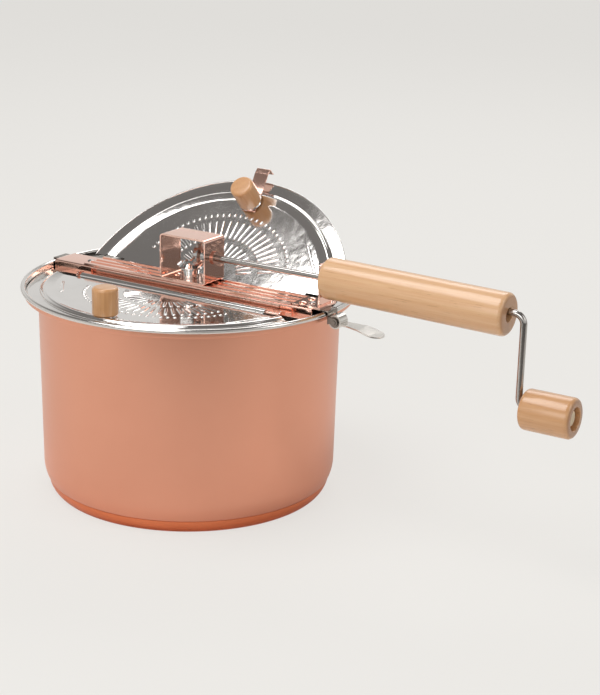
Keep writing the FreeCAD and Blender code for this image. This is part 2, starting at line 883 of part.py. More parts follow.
def make_driven_gear():
    gear = bevel_gear("driven", "gear_hub_radius", "crank_height - hub_bottom", "shaft_bore", 0)
    hole = cylinder(
        "driven_pin_hole",
        "gear_pin_radius",
        "2 * gear_hub_radius",
        ("0", "-gear_hub_radius", "-(crank_height - hub_bottom) + 2 * gear_pin_radius"),
        "y",
    )
    return place(cut("driven_gear", gear, [hole]), ("0", "0", "crank_height"))


def make_drive_gear():
    gear = bevel_gear("drive", "drive_hub_radius", "drive_hub_end", "rod_bore", 0.5)
    hole = cylinder(
        "drive_pin_hole",
        "gear_pin_radius",
        "2 * drive_hub_radius",
        ("0", "-drive_hub_radius", "-drive_hub_end + 2 * gear_pin_radius"),
        "y",
    )
    return place(cut("drive_gear", gear, [hole]), ("0", "0", "crank_height"), "-x")


def make_gear_pins():
    height = "hub_bottom + 2 * gear_pin_radius"
    driven = cylinder(
        "driven_gear_pin",
        "gear_pin_radius - fit_gap",
        "2 * gear_hub_radius",
        ("0", "-gear_hub_radius", height),
        "y",
    )
    reach = "drive_hub_end - 2 * gear_pin_radius"
    drive = cylinder(
        "drive_gear_pin",
        "gear_pin_radius - fit_gap",
        "2 * drive_hub_radius",
        (reach, "-drive_hub_radius", "crank_height"),
        "y",
    )
    return [driven, drive]


# Stirrer
def make_stirrer():
    bush_outline = [
        ("shaft_bearing", "bush_bottom"),
        ("bush_flange_radius", "bush_bottom"),
        ("bush_flange_radius", "ledge_height"),
        ("bush_radius", "ledge_height"),
        ("bush_radius", "bracket_floor"),
        ("shaft_bearing", "bracket_floor"),
    ]
    washer_outline = [
        ("shaft_bore", "bracket_floor"),
        ("gear_hub_radius", "bracket_floor"),
        ("gear_hub_radius", "bracket_floor + washer_thickness"),
        ("shaft_bore", "bracket_floor + washer_thickness"),
    ]
    clip_top = "bush_bottom - turning_gap"
    clip_outline = [
        ("shaft_bore", clip_top + " - clip_height"),
        ("clip_radius", clip_top + " - clip_height"),
        ("clip_radius", clip_top),
        ("shaft_bore", clip_top),
    ]
    shaft = cylinder(
        "shaft_bar",
        "stirrer_shaft_radius",
        "shaft_top - stirrer_shaft_bottom",
        ("0", "0", "stirrer_shaft_bottom"),
    )
    pin_hole = cylinder(
        "shaft_pin_hole",
        "gear_pin_radius",
        "2 * gear_hub_radius",
        ("0", "-gear_hub_radius", "hub_bottom + 2 * gear_pin_radius"),
        "y",
    )
    hub_outline = [
        ("shaft_bore", "stirrer_shaft_bottom - pip_height"),
        ("stirrer_hub_radius", "stirrer_shaft_bottom - pip_height"),
        ("stirrer_hub_radius", "stirrer_shaft_bottom + stirrer_hub_height - 2 * cap_round"),
        ("stirrer_hub_radius - 2 * cap_round", "stirrer_shaft_bottom + stirrer_hub_height"),
        ("shaft_bore", "stirrer_shaft_bottom + stirrer_hub_height"),
    ]
    hub_holes = [
        cylinder(
            "hub_wire_hole_" + side,
            "stirrer_wire_radius + fit_gap",
            "stirrer_hub_radius",
            (start, "0", "wire_height"),
            "x",
        )
        for side, start in (
            ("right", "stirrer_wire_grip"), ("left", "-stirrer_wire_grip - stirrer_hub_radius"),
        )
    ]
    return [
        turned("stirrer_bush", bush_outline),
        turned("thrust_washer", washer_outline),
        turned("shaft_clip", clip_outline),
        cut("stirrer_shaft", shaft, [pin_hole]),
        cut("stirrer_hub", turned("stirrer_hub_blank", hub_outline), hub_holes),
    ]


def stirrer_wire(name, side):
    """A straight wire in the hub whose tip bends up along the pan's corner."""
    start = "stirrer_wire_grip" if side > 0 else "-stirrer_reach"
    bar = cylinder(
        name + "_bar",
        "stirrer_wire_radius",
        "stirrer_reach - stirrer_wire_grip",
        (start, "0", "wire_height"),
        "x",
    )
    turn = FreeCAD.Rotation(X_AXIS, 90) * FreeCAD.Rotation(Z_AXIS, -90)
    if side < 0:
        turn = FreeCAD.Rotation(Z_AXIS, 180) * turn
    reach = "stirrer_reach" if side > 0 else "-stirrer_reach"
    at = (reach, "0", "wire_height + stirrer_bend_radius")
    tip = torus_part(
        name + "_tip", "stirrer_bend_radius", "stirrer_wire_radius", "stirrer_bend_angle", at, turn,
    )
    return fuse(name, [bar, tip])


def make_stirrer_wires():
    return group("stirrer_wires", [stirrer_wire("right_wire", 1), stirrer_wire("left_wire", -1)])


# Crank
def make_crank_rod():
    top_bend = torus_part(
        "rod_top_bend", "crank_bend_radius", "crank_rod_radius", "90",
        ("crank_arm_reach - crank_bend_radius", "0", "crank_height - crank_bend_radius"),
        FreeCAD.Rotation(X_AXIS, 90),
    )
    low_bend = torus_part(
        "rod_low_bend", "crank_bend_radius", "crank_rod_radius", "90",
        ("crank_arm_reach + crank_bend_radius", "0", "knob_height + crank_bend_radius"),
        FreeCAD.Rotation(X_AXIS, 90) * FreeCAD.Rotation(Z_AXIS, 180),
    )
    long_bar = cylinder(
        "rod_long_bar", "crank_rod_radius", "crank_arm_reach - crank_bend_radius - crank_rod_start",
        ("crank_rod_start", "0", "crank_height"), "x",
    )
    arm = cylinder(
        "rod_arm", "crank_rod_radius", "crank_throw - 2 * crank_bend_radius",
        ("crank_arm_reach", "0", "knob_height + crank_bend_radius"),
    )
    knob_bar = cylinder(
        "rod_knob_bar", "crank_rod_radius", "crank_rod_end - crank_arm_reach - crank_bend_radius",
        ("crank_arm_reach + crank_bend_radius", "0", "knob_height"), "x",
    )
    rod = fuse("rod_solid", [long_bar, top_bend, arm, low_bend, knob_bar])
    pin_hole = cylinder(
        "rod_pin_hole", "gear_pin_radius", "2 * drive_hub_radius",
        ("drive_hub_end - 2 * gear_pin_radius", "-drive_hub_radius", "crank_height"), "y",
    )
    return cut("crank_rod", rod, [pin_hole])


def make_crank_knob():
    length = "crank_knob_right - crank_knob_left"
    outline = [
        ("rod_bearing", "bend_recess_depth"),
        ("bend_recess_radius", "bend_recess_depth"),
        ("bend_recess_radius", "0"),
        ("crank_knob_radius - crank_knob_round", "0", "crank_knob_round"),
        ("crank_knob_radius", "crank_knob_round"),
        ("crank_knob_radius", length + " - crank_knob_round", "crank_knob_round"),
        ("crank_knob_radius - crank_knob_round", length),
        ("counterbore_radius", length),
        ("counterbore_radius", length + " - counterbore_depth"),
        ("rod_bearing", length + " - counterbore_depth"),
    ]
    return place(turned("crank_knob", outline), ("crank_knob_left", "0", "knob_height"), "x")


def make_rod_end_cap():
    outline = [
        ("rod_bore", "0"),
        ("cap_radius", "0"),
        ("cap_radius", "cap_length - cap_round", "cap_round"),
        ("cap_radius - cap_round", "cap_length"),
        ("0", "cap_length"),
        ("0", "cap_length - cap_round"),
        ("rod_bore", "cap_length - cap_round"),
    ]
    at = ("crank_knob_right - counterbore_depth + turning_gap", "0", "knob_height")
    return place(turned("rod_end_cap", outline), at, "x")


# Handle
def make_handle_grip():
    outline = [
        ("handle_bore_radius", "0"),
        ("handle_radius - handle_round", "0", "handle_round"),
        ("handle_radius", "handle_round"),
        ("handle_radius", "handle_length - handle_round", "handle_round"),
        ("handle_radius - handle_round", "handle_length"),
        ("handle_bore_radius", "handle_length"),
    ]
    blank = place(turned("handle_blank", outline), ("handle_left", "0", "handle_axis_height"), "x")
    blank.Placement = FreeCAD.Placement(
        blank.Placement.Base, FreeCAD.Rotation(Y_AXIS, 90 + size("handle_droop")),
    )
    holes = []
    for label, sign in (("low", "-"), ("high", "+")):
        at = ("handle_web_left", "0", "crank_height %s handle_screw_offset" % sign)
        holes.append(
            cylinder(
                "grip_hole_" + label,
                "handle_screw_radius + fit_gap",
                "handle_screw_depth + fit_gap",
                at,
                "x",
            )
        )
    return cut("handle_grip", blank, holes)


def make_handle_bracket():
    foot = box(
        "handle_foot",
        ("handle_foot_left", "-handle_foot_width / 2", "channel_top"),
        ("handle_foot_right - handle_foot_left", "handle_foot_width", "handle_foot_sheet"),
    )
    web = box(
        "handle_web",
        ("handle_web_left", "-handle_web_width / 2", "channel_top"),
        ("handle_foot_sheet", "handle_web_width", "handle_web_top - channel_top"),
    )
    web_soft = rounded(
        "handle_web_soft",
        web,
        "handle_web_bend",
        lambda spot,
        way: abs(way.x) > 0.9 and spot.z > size("crank_height"),
    )
    solid = fuse("handle_bracket_solid", [foot, web_soft])
    holes = [
        cylinder(
            "web_rod_hole",
            "rod_bearing",
            "handle_foot_sheet * 3",
            ("handle_web_left - handle_foot_sheet", "0", "crank_height"),
            "x",
        )
    ]
    for label, sign in (("low", "-"), ("high", "+")):
        at = ("handle_web_left - handle_foot_sheet", "0", "crank_height %s handle_screw_offset" % sign)
        holes.append(
            cylinder(
                "web_screw_hole_" + label,
                "handle_screw_radius + fit_gap",
                "handle_foot_sheet * 3",
                at,
                "x",
            )
        )
    for label, reach, offset in TOP_RIVETS[3:]:
        holes.append(rivet_hole("foot_hole_" + label, reach, offset))
    return cut("handle_bracket", solid, holes)


def make_handle_rivets():
    pieces = [
        rivet("handle_rivet_" + label, reach, offset, "foot_top", "channel_under - rivet_gap")
        for label, reach, offset in TOP_RIVETS[3:5]
    ]
    return group("handle_bracket_rivets", pieces)


def make_handle_screws():
    pieces = []
    for label, sign in (("low", "-"), ("high", "+")):
        outline = [
            ("0", "0"),
            ("handle_screw_head_radius - cap_round", "0", "cap_round"),
            ("handle_screw_head_radius", "cap_round"),
            ("handle_screw_head_radius", "handle_screw_head_height"),
            ("handle_screw_radius", "handle_screw_head_height"),
            ("handle_screw_radius", "handle_screw_head_height + handle_screw_depth"),
            ("0", "handle_screw_head_height + handle_screw_depth"),
        ]
        screw = turned("handle_screw_" + label, outline)
        at = (
            "handle_web_left - handle_screw_head_height",
            "0",
            "crank_height %s handle_screw_offset" % sign,
        )
        pieces.append(place(screw, at, "x"))
    return group("handle_screws", pieces)


# Latch
def make_latch_clip():
    """Strip over the bead under the handle foot, with two ears for the latch pin."""
    path = [
        ("channel_right - clip_tongue", "channel_under - clip_sheet - clip_rim_gap / 2"),
        ("channel_right + clip_rim_gap", "channel_under - clip_sheet - clip_rim_gap / 2"),
        ("channel_right + clip_sheet + 2 * clip_rim_gap", "clip_top"),
        ("clip_outer", "clip_top"),
        ("clip_outer", "clip_drop"),
    ]
    strip = bent_strip(
        "clip_strip",
        path,
        "clip_sheet",
        "latch_width + 2 * latch_side_gap + 2 * latch_ear_sheet",
        "-latch_centre",
    )
    window = box(
        "clip_window",
        ("clip_outer - clip_sheet", "-latch_centre - latch_ear_reach", "clip_drop - clip_sheet"),
        ("3 * clip_sheet", "2 * latch_ear_reach", "bead_height - clip_drop"),
    )
    ears = []
    for label, row in (
        ("front", "-latch_centre - latch_ear_reach - latch_ear_sheet"),
        ("rear", "-latch_centre + latch_ear_reach"),
    ):
        disc = cylinder(
            "clip_ear_disc_" + label,
            "latch_ear_radius",
            "latch_ear_sheet",
            ("latch_pivot_reach", row, "latch_pivot_height"),
            "y",
        )
        arm = box(
            "clip_ear_arm_" + label,
            ("clip_outer", row, "latch_pivot_height - latch_pin_radius"),
            (
                "latch_pivot_reach - clip_outer",
                "latch_ear_sheet",
                "latch_ear_radius + latch_pin_radius",
            ),
        )
        ears += [disc, arm]
    solid = fuse("clip_solid", [strip] + ears)
    bore = cylinder(
        "clip_pin_bore",
        "latch_pin_radius + fit_gap",
        "2 * latch_tab_width",
        ("latch_pivot_reach", "-latch_centre - latch_tab_width", "latch_pivot_height"),
        "y",
    )
    hole = cylinder(
        "clip_rivet_hole", "rivet_hole_radius", "foot_top - bead_height",
        ("latch_rivet_reach", "-latch_centre", "bead_height"),
    )
    return cut("latch_clip", solid, [window, bore, hole])


def make_latch_rivet():
    tail = "channel_under - clip_sheet - clip_rim_gap"
    head = "rivet_head_radius * latch_rivet_share"
    return rivet("latch_rivet", "latch_rivet_reach", "-latch_centre", "foot_top", tail, head)


def make_latch_pin():
    start = "-latch_centre - latch_ear_reach - latch_ear_sheet - latch_pin_overhang"
    length = "2 * (latch_ear_reach + latch_ear_sheet + latch_pin_overhang)"
    ends = cylinder(
        "latch_pin_bar",
        "latch_pin_radius",
        length,
        ("latch_pivot_reach", start, "latch_pivot_height"),
        "y",
    )
    roller = cylinder(
        "latch_pin_roller", "latch_curl_radius - latch_sheet - bearing_gap", "latch_width",
        ("latch_pivot_reach", "-latch_centre - latch_width / 2", "latch_pivot_height"), "y",
    )
    return fuse("latch_pin", [ends, roller])


def make_latch_lever():
    """Steel strip curled round the latch pin, with a nose under the bead and a thumb tab outside."""
    low = "-latch_centre - latch_width / 2"
    at = ("latch_pivot_reach", low, "latch_pivot_height")
    curl = cylinder("lever_curl", "latch_curl_radius", "latch_width", at, "y")
    nose = box(
        "lever_nose",
        ("latch_nose_left", low, "latch_nose_height"),
        ("latch_pivot_reach - latch_nose_left", "latch_width", "latch_sheet"),
    )
    pivot = "latch_pivot_reach"
    path = [
        (pivot + " + latch_curl_radius - latch_sheet", "latch_pivot_height - 1.9 * latch_sheet"),
        (pivot + " + 2 * latch_curl_radius", "latch_pivot_height - 2.0 * latch_sheet"),
        (pivot + " + 4 * latch_curl_radius", "latch_pivot_height - 2.6 * latch_sheet"),
        (pivot + " + 6 * latch_curl_radius", "latch_pivot_height - 5.0 * latch_sheet"),
        (pivot + " + latch_tab_reach", "latch_pivot_height - 6.0 * latch_sheet"),
    ]
    strip = bent_strip("lever_strip", path, "latch_sheet", "latch_tab_width", "-latch_centre")
    solid = fuse("lever_solid", [curl, nose, strip])
    bore = cylinder(
        "lever_bore",
        "latch_curl_radius - latch_sheet",
        "latch_tab_width",
        ("latch_pivot_reach", "-latch_centre - latch_tab_width / 2", "latch_pivot_height"),
        "y",
    )
    trims = [bore, tab_taper("lever_taper_front", "-"), tab_taper("lever_taper_rear", "+")]
    trims.append(tab_end("lever_tab_end"))
    return cut("latch_lever", solid, trims)


def tab_taper(name, sign):
    """What is cut off one side of the tab to leave it as narrow as the curl and widening outward."""
    near = "-latch_centre %s latch_width / 2" % sign
    edge = "-latch_centre %s latch_tab_width / 2" % sign
    start = "latch_pivot_reach + latch_curl_radius - 2 * latch_sheet"
    outline = [
        (start, near),
        ("latch_pivot_reach + latch_neck_reach", near),
        ("latch_pivot_reach + latch_taper_reach", edge),
        ("latch_pivot_reach + latch_taper_reach", edge + " %s latch_sheet" % sign),
        (start, edge + " %s latch_sheet" % sign),
    ]
    return plate(name, outline, "latch_pivot_height - 2 * latch_curl_radius", "3 * latch_curl_radius")


def tab_end(name):
    """What is cut off the square end of the thumb tab to leave it round."""
    centre = "latch_pivot_reach + latch_tab_reach - latch_tab_width / 2"
    block = box(
        name + "_block",
        (centre, "-latch_centre - latch_tab_width", "latch_pivot_height - 2 * latch_curl_radius"),
        ("latch_tab_width", "2 * latch_tab_width", "2 * latch_curl_radius"),
    )
    round_end = cylinder(
        name + "_round", "latch_tab_width / 2", "3 * latch_curl_radius",
        (centre, "-latch_centre", "latch_pivot_height - 2.5 * latch_curl_radius"),
    )
    return cut(name, block, [round_end])


# Lids
def lid_outline():
    under = " - lid_sheet"
    return [
        ("0", "panel_under"),
        ("panel_radius", "panel_under"),
        (
            "crest_inner_radius + lid_sheet / 3",
            "crest_inner_height" + under,
            "-(crest_round - lid_sheet)",
        ),
        ("crest_outer_radius - lid_sheet", "crest_outer_height - lid_sheet / 2"),
        ("flange_inner_radius - lid_sheet", "flange_height" + under),
        ("lid_radius - lid_edge_radius", "flange_height" + under),
        ("lid_radius", "flange_height" + under + " + lid_edge_radius"),
        ("lid_radius - lid_edge_radius / 2", "flange_height + lid_edge_radius / 2"),
        ("lid_radius - 2 * lid_edge_radius", "flange_height"),
        ("flange_inner_radius", "flange_height"),
        ("crest_outer_radius", "crest_outer_height", "crest_round"),
        ("crest_inner_radius", "crest_inner_height"),
        ("panel_radius", "panel_height"),
        ("0", "panel_height"),
    ]


# Ends of the two ribs of a lid as shares of the panel radius
LID_RIBS = (((-0.918, 0.327), (-0.765, 0.633)), ((0.694, 0.673), (0.857, 0.459)))


def lid_rib(name, start, end):
    """A round-topped rib pressed up from the panel between two spots."""
    height = size("panel_height - lid_rib_sink")
    panel = size("panel_radius")
    first = FreeCAD.Vector(start[0] * panel, start[1] * panel, height)
    last = FreeCAD.Vector(end[0] * panel, end[1] * panel, height)
    radius = size("lid_rib_radius")
    bar = Part.makeCylinder(radius, (last - first).Length, first, last - first)
    ends = [Part.makeSphere(radius, spot) for spot in (first, last)]
    limit = Part.makeBox(
        2 * size("lid_radius"), 2 * size("lid_radius"), size("lid_rib_radius + lid_sheet"),
        FreeCAD.Vector(-size("lid_radius"), -size("lid_radius"), size("panel_under + lid_sheet / 2")),
    )
    return frozen(name, bar.fuse(ends).common(limit))


def make_lid(name):
    """A half lid in the place of the rear one, closed; the hinge runs along X."""
    disc = place(turned(name + "_disc", lid_outline()), ("lid_shift", "0", "0"))
    trims = [
        box(
            name + "_front_trim",
            ("-2 * lid_radius", "-2 * lid_radius", "disc_thickness"),
            (
                "4 * lid_radius",
                "2 * lid_radius + hinge_offset + (tube_bore + lid_tube_radius) / 2",
                "crank_height",
            ),
        ),
        box(
            name + "_left_trim",
            ("-2 * lid_radius", "-lid_radius", "disc_thickness"),
            ("2 * lid_radius - tube_short_reach", "lid_radius + lid_notch", "crank_height"),
        ),
        box(
            name + "_right_trim",
            ("tube_long_reach", "-lid_radius", "disc_thickness"),
            ("lid_radius", "lid_radius + lid_notch", "crank_height"),
        ),
    ]
    sheet_part = cut(name + "_sheet", disc, trims)
    tube_length = "tube_short_reach + tube_long_reach"
    tube = cylinder(
        name + "_tube",
        "lid_tube_radius",
        tube_length,
        ("-tube_short_reach", "hinge_offset", "hinge_height"),
        "x",
    )
    boss = cylinder(
        name + "_boss",
        "lid_boss_radius",
        "lid_boss_top - panel_under",
        ("lid_shift", "lid_knob_reach", "panel_under"),
    )
    pieces = [sheet_part, tube, boss]
    for number, (start, end) in enumerate(LID_RIBS):
        pieces.append(lid_rib("%s_rib_%d" % (name, number), start, end))
    solid = fuse(name + "_solid", pieces)
    holes = [
        cylinder(
            name + "_bore",
            "tube_bore",
            tube_length,
            ("-tube_short_reach", "hinge_offset", "hinge_height"),
            "x",
        ),
        cylinder(
            name + "_screw_hole",
            "knob_screw_hole",
            "crank_height",
            ("lid_shift", "lid_knob_reach", "ledge_height / 2"),
        ),
    ]
    return cut(name, solid, holes)


def lid_knob(name, seat):
    outline = [
        ("knob_screw_hole", "0"),
        ("lid_knob_radius - lid_knob_chamfer", "0"),
        ("lid_knob_radius", "lid_knob_chamfer"),
        ("lid_knob_radius", "lid_knob_height - lid_knob_round", "lid_knob_round"),
        ("lid_knob_radius - lid_knob_round", "lid_knob_height"),
        ("0", "lid_knob_height"),
        ("0", "knob_screw_depth + screw_gap"),
        ("knob_screw_hole", "knob_screw_depth + screw_gap"),
    ]
    return place(turned(name, outline), ("lid_shift", "lid_knob_reach", seat))


def knob_screw(name, seat):
    outline = [
        ("0", "panel_under - knob_screw_head_height"),
        ("knob_screw_head_radius - cap_round", "panel_under - knob_screw_head_height", "cap_round"),
        ("knob_screw_head_radius", "panel_under - knob_screw_head_height + cap_round"),
        ("knob_screw_head_radius", "panel_under"),
        ("knob_screw_radius", "panel_under"),
        ("knob_screw_radius", seat + " + knob_screw_depth"),
        ("0", seat + " + knob_screw_depth"),
    ]
    return place(turned(name, outline), ("lid_shift", "lid_knob_reach", "0"))


def make_lid_clip():
    """Strip under the rear knob that passes over the bead and down outside when the lid is shut."""
    path = [
        ("lid_clip_inner", "lid_boss_top"),
        ("lid_clip_rise", "lid_boss_top"),
        ("ledge_radius", "clip_over_rim"),
        ("clip_outer", "clip_over_rim"),
        ("clip_outer", "clip_over_rim - lid_clip_drop"),
        ("clip_outer + lid_clip_flare", "clip_over_rim - lid_clip_drop - lid_clip_flare"),
    ]
    strip = bent_strip("lid_clip_strip", path, "-lid_clip_sheet", "lid_clip_width", "lid_shift", "yz")
    hole = cylinder(
        "lid_clip_hole",
        "knob_screw_hole",
        "crank_height",
        ("lid_shift", "lid_knob_reach", "ledge_height / 2"),
    )
    return cut("rear_lid_clip", strip, [hole])


def hinge_pin(name):
    start = "-ear_far_reach - pin_overhang"
    length = "ear_far_reach + ear_near_reach + 2 * pin_overhang"
    return cylinder(name, "hinge_pin_radius", length, (start, "hinge_offset", "hinge_height"), "x")


def swing(item, angle):
    """Turn a finished lid piece about the hinge line."""
    hinge = FreeCAD.Vector(0, size("hinge_offset"), size("hinge_height"))
    about = FreeCAD.Placement(FreeCAD.Vector(), FreeCAD.Rotation(X_AXIS, angle), hinge)
    clear_placement(item)
    item.Placement = about * item.Placement
    return item


def turn_to_front(item):
    """Move a piece of the rear half to the front half."""
    clear_placement(item)
    item.Placement = FreeCAD.Placement(FreeCAD.Vector(), FreeCAD.Rotation(Z_AXIS, 180)) * item.Placement
    return item


def clear_placement(item):
    """Drop the ties of a placement that is turned afterwards."""
    doc.recompute()
    for letter in "xyz":
        item.setExpression("Placement.Base." + letter, None)


def make_lids():
    clip_top = "lid_boss_top + lid_clip_sheet"
    front = [
        make_lid("front_lid"),
        lid_knob("front_knob", "lid_boss_top"),
        knob_screw("front_knob_screw", "lid_boss_top"),
        hinge_pin("front_hinge_pin"),
    ]
    rear = [
        make_lid("rear_lid"),
        lid_knob("rear_knob", clip_top),
        knob_screw("rear_knob_screw", clip_top),
        make_lid_clip(),
    ]
    angle = size("rear_lid_angle")
    fronts = [turn_to_front(item) for item in front]
    rears = [swing(item, angle) for item in rear]
    return fronts + rears + [hinge_pin("rear_hinge_pin")]


def build():
    nodes = [make_pan(), make_base_disc(), make_strap(), make_channel(), make_cover()]
    nodes += [make_crossbar_rivet(), make_rim_hook(), make_gear_bracket(), make_bracket_rivets()]
    nodes += [make_crank_bushing(), make_driven_gear(), make_drive_gear()] + make_gear_pins()
    nodes += make_stirrer() + [make_stirrer_wires()]
    nodes += [make_crank_rod(), make_crank_knob(), make_rod_end_cap()]
    nodes += [make_handle_grip(), make_handle_bracket(), make_handle_rivets(), make_handle_screws()]
    nodes += [make_latch_clip(), make_latch_rivet(), make_latch_pin(), make_latch_lever()]
    nodes += make_lids()
    return nodes


nodes = build()
doc.recompute()
for item in doc.Objects:
    faults = [state for state in item.State if state in ("Invalid", "Error")]
    if faults:
        raise RuntimeError("%s is not sound: %s" % (item.Label, faults))
for item in nodes:
    shape = item.Shape
    if shape.isNull() or not shape.isValid():
        raise RuntimeError("%s has no valid shape" % item.Label)
    shape.exportStep("parts/%s.step" % item.Label)
    print(item.Label, len(shape.Solids), "solids", round(shape.Volume), "mm3")
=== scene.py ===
import logging
import math
from dataclasses import dataclass
from enum import Enum

import bmesh
import bpy
from mathutils import Matrix, Vector


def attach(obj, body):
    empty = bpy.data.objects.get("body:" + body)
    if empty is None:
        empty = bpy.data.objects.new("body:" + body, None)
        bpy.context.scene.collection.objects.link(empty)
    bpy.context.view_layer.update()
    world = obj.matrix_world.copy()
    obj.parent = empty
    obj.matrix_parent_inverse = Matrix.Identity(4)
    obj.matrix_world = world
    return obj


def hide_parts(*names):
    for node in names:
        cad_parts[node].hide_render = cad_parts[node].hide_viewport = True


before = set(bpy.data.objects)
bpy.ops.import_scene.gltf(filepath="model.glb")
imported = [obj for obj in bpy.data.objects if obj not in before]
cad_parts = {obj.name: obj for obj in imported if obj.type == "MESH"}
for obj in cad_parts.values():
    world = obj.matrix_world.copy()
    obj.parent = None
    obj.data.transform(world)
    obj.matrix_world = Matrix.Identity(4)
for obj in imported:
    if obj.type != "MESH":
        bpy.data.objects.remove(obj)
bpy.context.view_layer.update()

LOG = logging.getLogger("popper")
MM = 0.001
QUARTER_TURN = math.radians(90)

# The hinge and the knob's place of a half lid, in millimetres, as the rear lid has them when shut.
HINGE = (22.0, 151.3)
LID_SHIFT = 3.0
LID_KNOB_REACH = 96.5
REAR_LID_ANGLE = 43.5

# The ranges in which noise counts, the shares of each mark, and the wood's scales on X, Y and Z.
SMEAR_RANGE = (0.35, 0.65)
PORE_RANGE = (0.64, 0.72)
FIBRE_RANGE = (0.3, 0.7)
PORE_SHARE = 0.45
BAND_SHARE = 0.22
FIBRE_SHARE = 0.6
SWAY = (0.0, 0.02, 0.02)
SWAY_SCALE = (1.6, 22.0, 22.0)
FIBRE_SCALE = (22.0, 900.0, 900.0)
PORE_SCALE = (90.0, 1500.0, 1500.0)
FAINT_RELIEF = 0.0003

Colour = tuple[int, int, int]
Point = tuple[float, float]
Spot = tuple[float, float, float]
Socket = bpy.types.NodeSocket
Shape = bmesh.types.BMesh


class Body(Enum):
    """The moving bodies of the popper."""

    PAN = "pan_body"
    FRONT_LID = "front_lid_body"
    REAR_LID = "rear_lid_body"
    CRANK = "crank_body"
    CRANK_KNOB = "crank_knob_body"
    STIRRER = "stirrer_body"
    LATCH = "latch_body"


class Grain(Enum):
    """The direction along which a finish is drawn out, as scales of the pattern on X, Y and Z."""

    ALONG_X = (0.04, 1.0, 1.0)
    ALONG_Z = (1.0, 1.0, 0.04)
    EVEN = (1.0, 1.0, 1.0)


def linear(colour: Colour) -> tuple[float, float, float, float]:
    """Turn a display colour into the linear colour that shaders use, by the sRGB curve.

    Args:
        colour: Red, green and blue from 0 to 255.

    Returns:
        Linear red, green, blue and an alpha of 1.
    """
    parts = [channel / 255.0 for channel in colour]
    out = [part / 12.92 if part <= 0.04045 else ((part + 0.055) / 1.055) ** 2.4 for part in parts]
    return (out[0], out[1], out[2], 1.0)


class NodeSheet:
    """A short way to lay out shader nodes in one tree."""

    def __init__(self, tree: bpy.types.NodeTree) -> None:
        """Keep the tree that nodes go into."""
        self.tree = tree

    def add(self, kind: str, **values) -> bpy.types.Node:
        """Add a node and set its options and its inputs.

        Args:
            kind: The node type, without its ShaderNode prefix.
            **values: An option of the node, an input by its name with underscores for spaces,
                or an input by its number after an i. A socket as a value is linked.

        Returns:
            The new node.
        """
        node = self.tree.nodes.new("ShaderNode" + kind)
        for key, value in values.items():
            numbered = key[0] == "i" and key[1:].isdigit()
            if hasattr(node, key) and not isinstance(value, Socket):
                setattr(node, key, value)
            else:
                self.feed(node.inputs[int(key[1:]) if numbered else key.replace("_", " ")], value)
        return node

    def feed(self, socket: Socket, value) -> None:
        """Link a socket or set its value.

        Args:
            socket: The input socket.
            value: The socket that is linked to it, or the value it takes.
        """
        if isinstance(value, Socket):
            self.tree.links.new(value, socket)
        else:
            socket.default_value = value

    def fill(self, node: bpy.types.Node, **values) -> None:
        """Feed several inputs of a node.

        Args:
            node: The node.
            **values: Values or sockets by the input's name, with underscores for spaces.
        """
        for key, value in values.items():
            self.feed(node.inputs[key.replace("_", " ")], value)

    def math(self, operation: str, first, second=0.0) -> Socket:
        """A math node on two values or sockets.

        Args:
            operation: The math node's operation.
            first: The first value or socket.
            second: The second value or socket.

        Returns:
            The result socket.
        """
        return self.add("Math", operation=operation, i0=first, i1=second).outputs[0]

    def scaled(self, spot: Socket, scale) -> Socket:
        """Stretch coordinates along each axis.

        Args:
            spot: The coordinates.
            scale: Three factors, or a socket that gives them.

        Returns:
            The stretched coordinates.
        """
        return self.add("VectorMath", operation="MULTIPLY", i0=spot, i1=scale).outputs[0]

    def spread(self, value, low: float, high: float, to_low: float = 0.0,
               to_high: float = 1.0) -> Socket:
        """Map a value from one range to another, held at both ends.

        Args:
            value: The value or socket to map.
            low: Start of the range it comes from.
            high: End of the range it comes from.
            to_low: Result at the start.
            to_high: Result at the end.

        Returns:
            The mapped socket.
        """
        node = self.add("MapRange", Value=value, From_Min=low, From_Max=high, To_Min=to_low,
                        To_Max=to_high)
        return node.outputs["Result"]

    def mix(self, share, first, second) -> Socket:
        """Mix two colours.

        Args:
            share: How much of the second colour shows, as a value or socket.
            first: The first colour or socket.
            second: The second colour or socket.

        Returns:
            The mixed colour.
        """
        node = self.add("Mix", data_type="RGBA")
        self.feed(node.inputs[0], share)
        self.feed(node.inputs[6], first)
        self.feed(node.inputs[7], second)
        return node.outputs[2]


def new_group(name: str, inputs: dict[str, tuple[str, object]], outputs: dict[str, str]):
    """Start a shader node group with named sockets.

    Args:
        name: The group's name.
        inputs: Socket name to its kind and start value.
        outputs: Socket name to its kind.

    Returns:
        The group's tree, a node sheet for it, its input node and its output node.
    """
    tree = bpy.data.node_groups.new(name, "ShaderNodeTree")
    for label, (kind, start) in inputs.items():
        socket = tree.interface.new_socket(label, in_out="INPUT", socket_type="NodeSocket" + kind)
        if start is not None:
            socket.default_value = start
    for label, kind in outputs.items():
        tree.interface.new_socket(label, in_out="OUTPUT", socket_type="NodeSocket" + kind)
    sheet = NodeSheet(tree)
    return tree, sheet, tree.nodes.new("NodeGroupInput"), tree.nodes.new("NodeGroupOutput")


